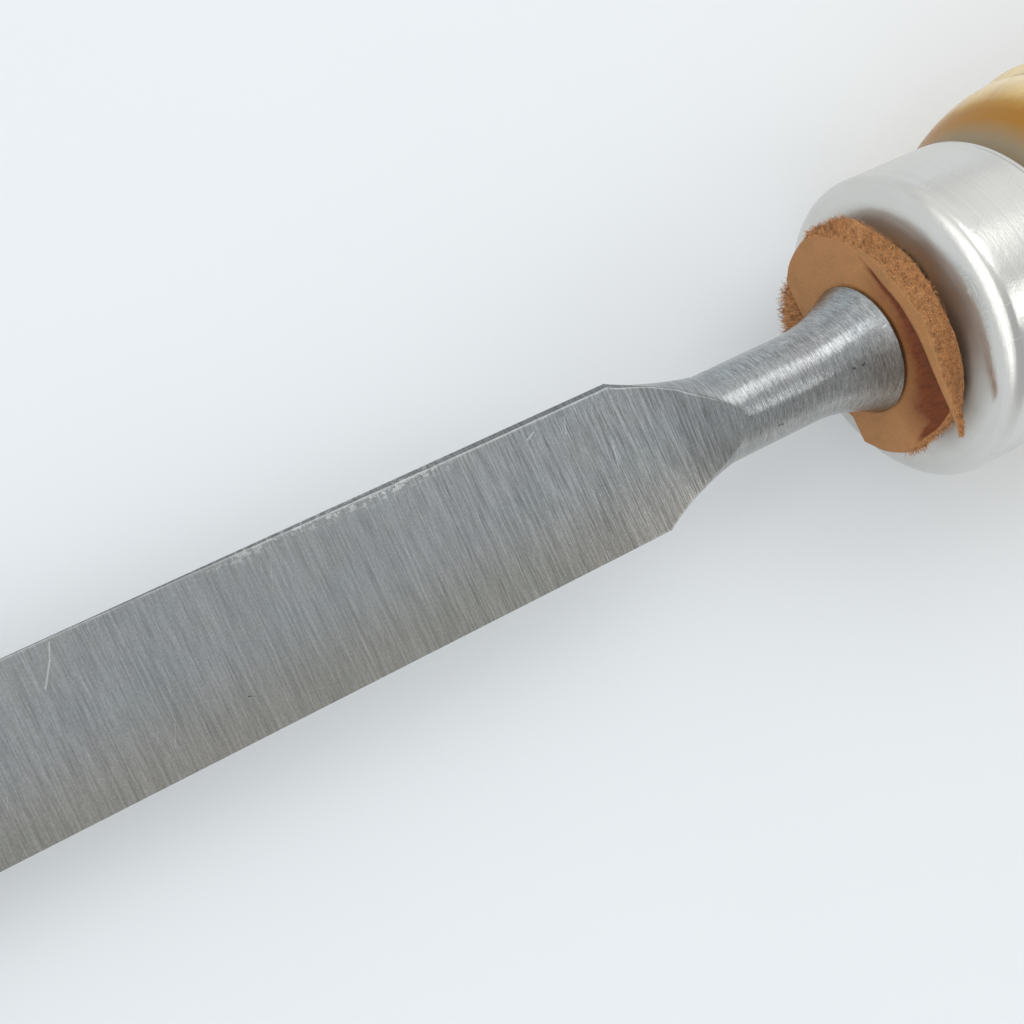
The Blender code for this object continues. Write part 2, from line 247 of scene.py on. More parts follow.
def outline_at(knots, at):
    """Height at one place of a smooth curve through (place, height) knots in rising order."""
    if at <= knots[0][0]:
        return knots[0][1]
    if at >= knots[-1][0]:
        return knots[-1][1]
    last = next(index for index, knot in enumerate(knots) if knot[0] >= at)
    (x1, y1), (x2, y2) = knots[last - 1], knots[last]
    x0, y0 = knots[max(last - 2, 0)]
    x3, y3 = knots[min(last + 1, len(knots) - 1)]
    share = (at - x1) / (x2 - x1)
    slope1 = (y2 - y0) / (x2 - x0) * (x2 - x1)
    slope2 = (y3 - y1) / (x3 - x1) * (x2 - x1)
    square, cube = share * share, share**3
    return (
        (2 * cube - 3 * square + 1) * y1
        + (cube - 2 * square + share) * slope1
        + (3 * square - 2 * cube) * y2
        + (cube - square) * slope2
    )


def start_alone():
    """Object mode with nothing selected."""
    if bpy.context.object and bpy.context.object.mode != "OBJECT":
        bpy.ops.object.mode_set(mode="OBJECT")
    bpy.ops.object.select_all(action="DESELECT")


def named_piece(name):
    """The object just added, under its own name."""
    piece = bpy.context.object
    piece.name = name
    piece.data.name = name
    return piece


def weld():
    """Merges points that meet and leaves the whole mesh selected, in edit mode."""
    bpy.ops.mesh.select_all(action="SELECT")
    bpy.ops.mesh.remove_doubles(threshold=WELD)
    bpy.ops.mesh.select_all(action="SELECT")


def close_skin():
    """Merges seams, fills open ends and turns faces outwards, in edit mode."""
    weld()
    bpy.ops.mesh.fill_holes(sides=0)
    bpy.ops.mesh.select_all(action="SELECT")
    bpy.ops.mesh.normals_make_consistent(inside=False)


def lay_down(piece, sharp_angle):
    """Shades a finished piece and puts its place in the tool into its mesh."""
    bpy.ops.object.mode_set(mode="OBJECT")
    bpy.ops.object.shade_smooth_by_angle(angle=math.radians(sharp_angle))
    piece.matrix_world = tool_frame(bpy.context.scene.chisel.blade)
    bpy.ops.object.transform_apply(location=True, rotation=True, scale=True)


def wrapped_sheet(name, rings, marks, sharp_angle):
    """A piece wrapped from a flat sheet: a closed ring of points a row, and named marks for each point."""
    start_alone()
    rows, columns = len(rings), len(rings[0]) + 1
    bpy.ops.mesh.primitive_grid_add(x_subdivisions=columns - 1, y_subdivisions=rows - 1, size=1.0)
    piece = named_piece(name)
    for title in marks:
        piece.data.attributes.new(title, "FLOAT", "POINT")
    layers = {title: piece.data.attributes[title] for title in marks}
    for vertex in piece.data.vertices:
        column = round((vertex.co.x + 0.5) * (columns - 1)) % (columns - 1)
        row = round((vertex.co.y + 0.5) * (rows - 1))
        vertex.co = rings[row][column]
        for title, layer in layers.items():
            layer.data[vertex.index].value = marks[title][row][column]
    bpy.ops.object.mode_set(mode="EDIT")
    close_skin()
    lay_down(piece, sharp_angle)
    return piece


def turned_piece(name, outline, closed):
    """A piece spun about the tool's axis from (along, radius) points."""
    start_alone()
    bpy.ops.mesh.primitive_plane_add(size=MM)
    piece = named_piece(name)
    bpy.ops.object.mode_set(mode="EDIT")
    bpy.ops.mesh.select_all(action="SELECT")
    bpy.ops.mesh.merge(type="CENTER")
    bpy.ops.transform.translate(value=(outline[0][0], 0, outline[0][1]))
    points = outline + outline[:1] if closed else outline
    for (along, radius), (next_along, next_radius) in zip(points, points[1:]):
        move = {"value": (next_along - along, 0, next_radius - radius)}
        bpy.ops.mesh.extrude_region_move(TRANSFORM_OT_translate=move)
    weld()
    bpy.ops.mesh.spin(steps=TURNING_STEPS, angle=2 * math.pi, center=(0, 0, 0), axis=(1, 0, 0))
    close_skin()
    lay_down(piece, sharp_angle=35)
    return piece


def rounded(along, radius, reach, start, end, count):
    """(along, radius) points of a rounded corner, from one angle in degrees to another."""
    angles = [math.radians(angle) for angle in between(start, end, count)]
    return [(along + reach * math.cos(angle), radius + reach * math.sin(angle)) for angle in angles]


def finish_piece(piece, material, slot, *nodes):
    """Gives a piece its material and its place on the frame."""
    piece.data.materials.clear()
    piece.data.materials.append(material)
    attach(piece, "root")
    if nodes:
        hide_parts(*nodes)


# Shader nodes


class Wire:
    """An output of a shader node. Arithmetic with it adds Math nodes to its tree."""

    def __init__(self, socket):
        self.socket = socket
        self.tree = socket.id_data

    def calc(self, operation, first, second=0.0):
        return put(self.tree, "ShaderNodeMath", {0: first, 1: second}, operation=operation)

    def __add__(self, other):
        return self.calc("ADD", self, other)

    def __sub__(self, other):
        return self.calc("SUBTRACT", self, other)

    def __rsub__(self, other):
        return self.calc("SUBTRACT", other, self)

    def __mul__(self, other):
        return self.calc("MULTIPLY", self, other)

    def __truediv__(self, other):
        return self.calc("DIVIDE", self, other)

    def __rtruediv__(self, other):
        return self.calc("DIVIDE", other, self)

    def __abs__(self):
        return self.calc("ABSOLUTE", self)

    def largest(self, other):
        return self.calc("MAXIMUM", self, other)

    def beside(self, output):
        """Another output of the same node."""
        return Wire(self.socket.node.outputs[output])


def plug(node, inputs):
    """Links the wires among a node's inputs and sets the others."""
    for name, value in inputs.items():
        if isinstance(value, Wire):
            node.id_data.links.new(value.socket, node.inputs[name])
        else:
            node.inputs[name].default_value = value


def put(tree, kind, inputs=None, output=0, **settings):
    """Adds a node to a tree and gives one of its outputs."""
    node = tree.nodes.new(kind)
    for setting, value in settings.items():
        setattr(node, setting, value)
    plug(node, inputs or {})
    return Wire(node.outputs[output])


def blend(share, first, second, kind="MIX"):
    """Output of a colour Mix node."""
    inputs = {0: share, 6: first, 7: second}
    return put(share.tree, "ShaderNodeMix", inputs, 2, data_type="RGBA", blend_type=kind)


def remap(value, low, high, to_low=0.0, to_high=1.0):
    """Output of a clamped Map Range node."""
    inputs = {"Value": value, "From Min": low, "From Max": high, "To Min": to_low, "To Max": to_high}
    return put(value.tree, "ShaderNodeMapRange", inputs)


def noise_at(vector, scale, detail, roughness):
    """Output of a Noise Texture node."""
    inputs = {"Vector": vector, "Scale": scale, "Detail": detail, "Roughness": roughness}
    return put(vector.tree, "ShaderNodeTexNoise", inputs, "Fac")


def vector_math(operation, first, second, output="Vector"):
    """Output of a Vector Math node."""
    return put(first.tree, "ShaderNodeVectorMath", {0: first, 1: second}, output, operation=operation)


def stretched(vector, scale):
    """A vector stretched by a scale for each axis."""
    return vector_math("MULTIPLY", vector, scale)


def axis(vector, index):
    """One part of a vector: 0 for X, 1 for Y, 2 for Z."""
    return put(vector.tree, "ShaderNodeSeparateXYZ", {0: vector}, index)


def mark(vector, name):
    """A mark that the mesh carries at each point."""
    return put(vector.tree, "ShaderNodeAttribute", output="Fac", attribute_name=name)


def bump(height, strength, distance):
    """Output of a Bump node."""
    inputs = {"Height": height, "Strength": strength, "Distance": distance}
    return put(height.tree, "ShaderNodeBump", inputs)


def rgba(colour, gain=1.0):
    """A colour with its alpha, made lighter or darker by a gain."""
    return (*[min(1.0, part * gain) for part in colour], 1.0)


def titled(name):
    """Name of a socket from a Python name."""
    return name.replace("_", " ").title()


def new_group(draw, outputs, inputs):
    """A shader node group, named after the function that draws what is in it."""
    group = bpy.data.node_groups.new(draw.__name__, "ShaderNodeTree")
    for name, default in inputs.items():
        kind = "NodeSocketFloat" if isinstance(default, float) else "NodeSocketVector"
        socket = group.interface.new_socket(name=titled(name), in_out="INPUT", socket_type=kind)
        socket.default_value = default
    for name in outputs:
        group.interface.new_socket(name=name, in_out="OUTPUT", socket_type="NodeSocketFloat")
    start, end = group.nodes.new("NodeGroupInput"), group.nodes.new("NodeGroupOutput")
    drawn = draw(*[Wire(start.outputs[titled(name)]) for name in inputs])
    plug(end, dict(zip(outputs, drawn)))
    return group


def node_group(*outputs, **inputs):
    """Turns a function that draws a node group into one that places the group, built once, in a material."""

    def decorate(draw):
        def place(vector, **values):
            group = bpy.data.node_groups.get(draw.__name__)
            if group is None:
                group = new_group(draw, outputs, {"vector": (0.0, 0.0, 0.0), **inputs})
            node = vector.tree.nodes.new("ShaderNodeGroup")
            node.node_tree = group
            plug(node, {"Vector": vector} | {titled(name): value for name, value in values.items()})
            wires = [Wire(node.outputs[name]) for name in outputs]
            return wires if len(wires) > 1 else wires[0]

        return place

    return decorate


@node_group("Lines", lines_per_millimetre=4.0, line_reach=6.0)
def grind_lines(vector, lines_per_millimetre, line_reach):
    """Fine parallel lines across the tool's axis, as a grinding wheel or a lathe leaves them."""
    thin = 1.0 / line_reach
    scale = put(vector.tree, "ShaderNodeCombineXYZ", {0: lines_per_millimetre, 1: thin, 2: thin})
    lines = stretched(vector, scale)
    mixed = noise_at(lines, 0.55, 2.0, 0.5) * 0.45 + noise_at(lines, 1.7, 3.0, 0.65) * 0.55
    return [remap(mixed, 0.3, 0.7)]


@node_group("Mask", turn=(0.0, 0.0, 0.4), scratches_per_millimetre=0.5, share=0.3)
def stray_scratches(vector, turn, scratches_per_millimetre, share):
    """A few long thin scratches that cross the surface at a slant."""
    turned = put(vector.tree, "ShaderNodeMapping", {"Vector": vector, "Rotation": turn})
    waves = noise_at(stretched(turned, (1.0, 0.03, 1.0)), scratches_per_millimetre, 1.0, 0.5)
    line = remap(abs(waves - 0.5), 0.0, 0.006, 1.0, 0.0)
    level = 1.0 - share
    return [line * remap(noise_at(turned, 0.35, 1.0, 0.5), level, level + 0.08)]


@node_group("Mask", patches_per_millimetre=0.1, level=0.5, softness=0.15)
def blotches(vector, patches_per_millimetre, level, softness):
    """Soft patches of handling and tarnish."""
    patches = noise_at(vector, patches_per_millimetre, 4.0, 0.6)
    return [remap(patches, level - softness, level + softness)]


@node_group("Mask", cells_per_millimetre=1.0, radius=0.12, share=0.1)
def pin_pricks(vector, cells_per_millimetre, radius, share):
    """Small separate pits or specks, on a share of the cells they could sit in."""
    cells = {"Vector": vector, "Scale": cells_per_millimetre}
    gap = put(vector.tree, "ShaderNodeTexVoronoi", cells, "Distance")
    pick = put(vector.tree, "ShaderNodeSeparateColor", {0: gap.beside("Color")})
    return [remap(gap, radius * 0.5, radius, 1.0, 0.0) * pick.calc("LESS_THAN", pick, share)]


@node_group("Mask", first_end=(0.0, 0.0, 0.0), second_end=(0.0, 0.0, 0.0), half_width=0.05)
def pen_stroke(vector, first_end, second_end, half_width):
    """One straight scratch from one place on the face to another."""
    span = vector_math("SUBTRACT", second_end, first_end)
    reach = vector_math("SUBTRACT", stretched(vector, (1.0, 1.0, 0.0)), first_end)
    along = vector_math("DOT_PRODUCT", reach, span, "Value")
    whole = vector_math("DOT_PRODUCT", span, span, "Value")
    foot = stretched(span, remap(along / whole, 0.0, 1.0))
    gap = vector_math("DISTANCE", reach, foot, "Value")
    return [remap(gap / half_width, 0.4, 1.0, 1.0, 0.0)]


@node_group("Height", "Tone", pores_per_millimetre=5.0)
def leather_grain(vector, pores_per_millimetre):
    """Pores and creases of the smooth side of leather."""
    cells = {"Vector": vector, "Scale": pores_per_millimetre}
    pores = put(vector.tree, "ShaderNodeTexVoronoi", cells, "Distance", feature="SMOOTH_F1")
    crumple = noise_at(vector, pores_per_millimetre, 3.0, 0.6)
    tone = noise_at(vector, 0.55, 4.0, 0.65)
    return [pores * 0.5 + crumple * 0.5, remap(tone, 0.3, 0.7)]


def drawn_strokes(tool, strokes):
    """Mask of single scratches, each given by its ends on the face in millimetres and its half width."""
    masks = [
        pen_stroke(tool, first_end=(*start, 0.0), second_end=(*end, 0.0), half_width=half_width)
        for start, end, half_width in strokes
    ]
    return functools.reduce(Wire.largest, masks)


# Materials. Places are in the tool's own axes, in millimetres. A pair is where a change begins and ends.

LINES_DEEPEN = (-45.0, -20.0)
NECK_BEGINS = (-16.0, -13.0)
BESIDE_LEATHER = (-5.0, -1.5)
SCUFFS_BEGIN = (-57.0, -50.0)
SCUFFS_END = (-38.0, -34.0)
PALE_SCRATCHES = (
    ((-64.9, 5.7), (-65.35, 4.6), 0.06),
    ((-65.35, 4.6), (-66.3, 3.1), 0.09),
    ((-26.6, 5.0), (-27.0, 3.8), 0.05),
    ((-29.3, 4.9), (-29.9, 4.6), 0.09),
    ((-23.9, 2.0), (-24.4, -0.4), 0.04),
    ((-0.75, 1.0), (-0.5, 1.1), 0.09),
)
DARK_PITS = (
    ((-55.25, -3.1), (-54.9, -3.25), 0.075),
    ((-11.2, -2.4), (-10.8, -2.5), 0.1),
    ((-3.85, -0.95), (-3.75, -1.0), 0.13),
    ((-3.1, -1.05), (-2.95, -0.95), 0.13),
)
FERRULE_LIP_RADII = (10.4, 11.4)
JOINT_ENDS = (14.6, 16.2)
AMBER_ENDS = (17.8, 19.8)
# The bead's crest carries a painted highlight between these places.
CREST_HIGHLIGHT_BEGINS = (18.6, 21.4)
CREST_HIGHLIGHT_FADES = (26.5, 31.0)
# A painted shade line lies in the groove behind the bead.
GROOVE_AT = 22.6
GROOVE_SHADE = (0.3, 0.9)
BLACK = (0.0, 0.0, 0.0, 1.0)


def plain_material(name):
    """A node material, its shader, and the wire of object coordinates."""
    material = bpy.data.materials.new(name)
    material.use_nodes = True
    tree = material.node_tree
    return material, tree.nodes["Principled BSDF"], put(tree, "ShaderNodeTexCoord", output="Object")


def tool_material(name):
    """A node material, its shader, and the wire of tool coordinates in millimetres."""
    material, shader, place = plain_material(name)
    lying = tool_frame(bpy.context.scene.chisel.blade)
    inputs = {
        "Vector": place,
        "Location": lying.translation,
        "Rotation": lying.to_euler(),
        "Scale": (MM, MM, MM),
    }
    return material, shader, put(place.tree, "ShaderNodeMapping", inputs, vector_type="TEXTURE")


def ground_steel(colour):
    """Cross-ground tool steel with bright arrises, scuffs and a few scratches."""
    material, shader, tool = tool_material("ground_steel")
    along, over = axis(tool, 0), axis(tool, 1)
    fine = grind_lines(tool, lines_per_millimetre=13.0, line_reach=2.6)
    broad = grind_lines(tool, lines_per_millimetre=4.0, line_reach=4.0)
    hatch = grind_lines(tool, lines_per_millimetre=13.0, line_reach=0.6)
    tone = (fine * 0.86 + broad * 0.14 - 0.5) * remap(along, *LINES_DEEPEN, 0.72, 1.4) + 0.5
    neck = remap(along, *NECK_BEGINS)
    tone = tone + neck * (hatch - tone)
    base = blend(tone, rgba(colour, 0.44), rgba(colour, 1.46))
    dust = remap(noise_at(tool, 6.0, 2.0, 0.7), 0.35, 0.65)
    base = blend(dust, base, (0.84, 0.84, 0.83, 1.0), "MULTIPLY")
    mottle = noise_at(stretched(tool, (0.12, 0.25, 0.25)), 1.0, 4.0, 0.6)
    low_side = remap(over + mottle * -6.0, -3.0, -8.0)
    base = blend(low_side, base, (1.0, 0.94, 0.85, 1.0), "MULTIPLY")
    # Painted reflection: the near side of the bolster beside the leather is darkened and warmed, as if it
    # mirrored the brown leather.
    painted_leather_reflection = remap(along, *BESIDE_LEATHER) * remap(over, 1.2, -1.2)
    base = blend(painted_leather_reflection, base, (0.70, 0.61, 0.55, 1.0), "MULTIPLY")
    bluish = remap(mottle, 0.42, 0.62) * 0.8
    base = blend(bluish, base, (0.94, 0.99, 1.0, 1.0), "MULTIPLY")
    far_side = remap(over + mottle * 1.6, 5.6, 6.4)
    stretch = remap(along, *SCUFFS_BEGIN) * remap(along, *SCUFFS_END, 1.0, 0.0)
    scuffs = far_side * stretch * remap(noise_at(tool, 2.4, 3.0, 0.7), 0.53, 0.58)
    strays = stray_scratches(tool, scratches_per_millimetre=0.5, share=0.4)
    marks = (scuffs * 0.4).largest(strays * 0.2).largest(drawn_strokes(tool, PALE_SCRATCHES) * 0.38)
    patchy = remap(noise_at(tool, 1.5, 3.0, 0.6), 0.3, 0.6, 0.35, 1.0)
    base = blend(marks.largest(mark(tool, "wear") * patchy), base, (0.85, 0.85, 0.83, 1.0))
    base = blend(mark(tool, "dark") * 0.7, base, (0.5, 0.5, 0.51, 1.0), "MULTIPLY")
    pits = drawn_strokes(tool, DARK_PITS) * remap(noise_at(tool, 7.0, 2.0, 0.6), 0.34, 0.52)
    specks = pin_pricks(tool, cells_per_millimetre=0.8, radius=0.06, share=0.05)
    pits = (pits * 0.85).largest(specks * 0.7)
    rough = remap(tone, 0.0, 1.0, 0.25, 0.18) * remap(neck, 0.0, 1.0, 1.0, 0.7)
    height = tone * remap(neck, 0.0, 1.0, 1.0, 1.6) - pits * 2.0 - marks * 0.8
    inputs = {
        "Base Color": blend(pits, base, (0.03, 0.03, 0.03, 1.0)),
        "Roughness": rough + scuffs * 0.25,
        "Metallic": 1.0,
        "Normal": bump(height, 0.8, 0.000008),
    }
    plug(shader, inputs)
    return material


def tan_leather(settings):
    """Smooth tan leather with a fold darkened by a stain and by painted shade, and suede where it is cut."""
    material, shader, tool = tool_material("tan_leather")
    grain, shade = leather_grain(tool, pores_per_millimetre=6.0)
    face = blend(shade, rgba(settings.tan, 0.84), rgba(settings.tan, 1.14))
    speckle = remap(noise_at(tool, 8.0, 3.0, 0.7), 0.3, 0.7)
    face = blend(speckle, face, (0.76, 0.72, 0.68, 1.0), "MULTIPLY")
    # The stain mark turns the face a mottled reddish brown. It is partly a real stain in the fold and partly
    # painted shade in the fold, along the crease and under the flap's edge.
    stain_and_shade = mark(tool, "stain_and_shade")
    uneven = remap(noise_at(stretched(tool, (1.5, 3.5, 1.5)), 1.0, 4.0, 0.7), 0.3, 0.7)
    stained_and_shaded = blend(uneven, rgba(settings.stain_and_shade, 0.8), rgba(settings.stain_and_shade, 1.45))
    face = blend(remap(stain_and_shade + shade * 0.25, 0.12, 1.0), face, stained_and_shaded)
    edgewise = {0: mark(tool, "arc") * 2.5, 1: mark(tool, "deep") * 7.0}
    strands = noise_at(put(tool.tree, "ShaderNodeCombineXYZ", edgewise), 2.0, 4.0, 0.7)
    nap = strands * 0.6 + noise_at(tool, 5.0, 3.0, 0.7) * 0.4
    suede = blend(remap(nap, 0.36, 0.62), rgba(settings.edge, 0.45), rgba(settings.edge, 1.4))
    # Painted shade: the same mark darkens the rough side of the rear washer towards the hole.
    suede = blend(stain_and_shade * 0.8, suede, rgba(settings.stain_and_shade))
    rough_side = remap(mark(tool, "cut") + nap * 0.4, 0.5, 0.85)
    inputs = {
        "Base Color": blend(rough_side, face, suede),
        "Roughness": remap(rough_side, 0.0, 1.0, 0.55, 0.95),
        "Specular IOR Level": 0.2,
        "Normal": bump(grain * 0.6 + nap * rough_side, 0.7, 0.00012),
    }
    plug(shader, inputs)
    return material


def loose_fibre(settings):
    """Single fibres teased out of the cut edges."""
    material, shader, tool = tool_material("loose_fibre")
    tone = noise_at(tool, 2.2, 2.0, 0.6)
    colour = blend(remap(tone, 0.35, 0.65), rgba(settings.edge, 0.5), rgba(settings.edge, 1.7))
    plug(shader, {"Base Color": colour, "Roughness": remap(tone, 0.0, 1.0, 0.7, 0.95)})
    return material


def turned_metal(name, colour, roughness, front_roughness, line_bump, speckle):
    """Metal that was turned on a lathe and polished, with fine rings and light handling."""
    material, shader, tool = tool_material(name)
    rings = grind_lines(tool, lines_per_millimetre=7.0, line_reach=30.0)
    hazy = blotches(tool, patches_per_millimetre=0.16, level=0.5, softness=0.2)
    strays = stray_scratches(tool, turn=(0.5, 0.3, 1.1), scratches_per_millimetre=0.45, share=0.45)
    base = blend(rings, rgba(colour, 0.94), rgba(colour, 1.05))
    radius = vector_math("LENGTH", stretched(tool, (0.0, 1.0, 1.0)), (0.0, 0.0, 0.0), "Value")
    plain = remap(radius, *FERRULE_LIP_RADII, front_roughness, roughness)
    height = rings * line_bump + noise_at(tool, 2.0, 5.0, 0.7) * speckle - strays * 0.5
    inputs = {
        "Base Color": blend(hazy, base, (0.92, 0.92, 0.91, 1.0), "MULTIPLY"),
        "Roughness": plain * remap(hazy, 0.0, 1.0, 1.0, 1.4) + strays * 0.2,
        "Metallic": 1.0,
        "Normal": bump(height, 0.5, 0.00004),
    }
    plug(shader, inputs)
    return material


def lacquered_wood(settings):
    """Straight-grained wood under a thick clear lacquer."""
    material, shader, tool = tool_material("lacquered_wood")
    offset = vector_math("ADD", tool, (0.0, 31.0, 17.0))
    wander = noise_at(stretched(offset, (0.02, 0.08, 0.08)), 1.0, 3.0, 0.5)
    bent = stretched(vector_math("ADD", offset, wander), (0.02, 0.6, 1.0))
    wave = {"Vector": bent, "Scale": 0.07, "Distortion": 3.0, "Detail": 3.0, "Detail Scale": 1.2}
    rings = put(tool.tree, "ShaderNodeTexWave", wave, "Fac", bands_direction="Z")
    streaks = noise_at(stretched(offset, (0.05, 1.4, 1.4)), 1.0, 4.0, 0.65)
    tone = rings * 0.25 + streaks * 0.75
    base = blend(remap(tone, 0.25, 0.75), rgba(settings.honey), rgba(settings.straw))
    place = axis(tool, 0)
    along = place + wander * 1.6
    base = blend(remap(along, *AMBER_ENDS, 1.0, 0.0), base, rgba(settings.amber))
    # Painted highlight: the crest of the bead is lightened to a pale cream, where the lacquer shines.
    crest_highlight = remap(along, *CREST_HIGHLIGHT_BEGINS) * remap(along + streaks * 4.0, *CREST_HIGHLIGHT_FADES, 0.9, 0.0)
    base = blend(crest_highlight, base, rgba(settings.crest_highlight))
    pores = remap(noise_at(stretched(offset, (0.12, 5.0, 5.0)), 1.0, 2.0, 0.6), 0.5, 0.8)
    base = blend(pores * 0.2, base, rgba(settings.honey, 0.6))
    base = blend(remap(place, *JOINT_ENDS, 0.85, 0.0), base, rgba(settings.joint))
    # Painted shade: a dark line in the groove behind the bead, in the joint colour.
    base = blend(remap(abs(place - GROOVE_AT), *GROOVE_SHADE, 0.7, 0.0), base, rgba(settings.joint))
    worn = blotches(tool, patches_per_millimetre=0.06, level=0.42, softness=0.12)
    inputs = {
        "Base Color": base,
        "Roughness": remap(streaks, 0.0, 1.0, 0.5, 0.35),
        "Specular IOR Level": 0.0,
        "Coat Weight": remap(worn, 0.0, 1.0, 0.4, 0.6),
        "Coat Roughness": 0.06,
        "Coat IOR": 1.5,
        "Normal": bump(noise_at(tool, 0.6, 2.0, 0.5), 0.12, 0.0002),
    }
    plug(shader, inputs)
    return material


def pale_floor(settings):
    """A matt pale surface with hardly any mottle. To the camera and in metal its shadows are lighter."""
    material, shader, place = plain_material("pale_floor")
    mottle = noise_at(place, 30.0, 3.0, 0.6)
    colour = blend(mottle, rgba(settings.floor, 0.985), rgba(settings.floor, 1.01))
    rays = ("Is Camera Ray", "Is Glossy Ray", "Is Transmission Ray")
    seen = [put(place.tree, "ShaderNodeLightPath", output=ray) for ray in rays]
    fill = functools.reduce(Wire.largest, seen) * settings.shadow_fill
    inputs = {
        "Base Color": blend(fill, colour, BLACK),
        "Emission Color": blend(fill, BLACK, rgba(settings.open_floor)),
        "Emission Strength": 1.0,
        "Roughness": remap(mottle, 0.0, 1.0, 0.75, 0.85),
        "Specular IOR Level": 0.1,
    }
    plug(shader, inputs)
    return material


# The blade forging


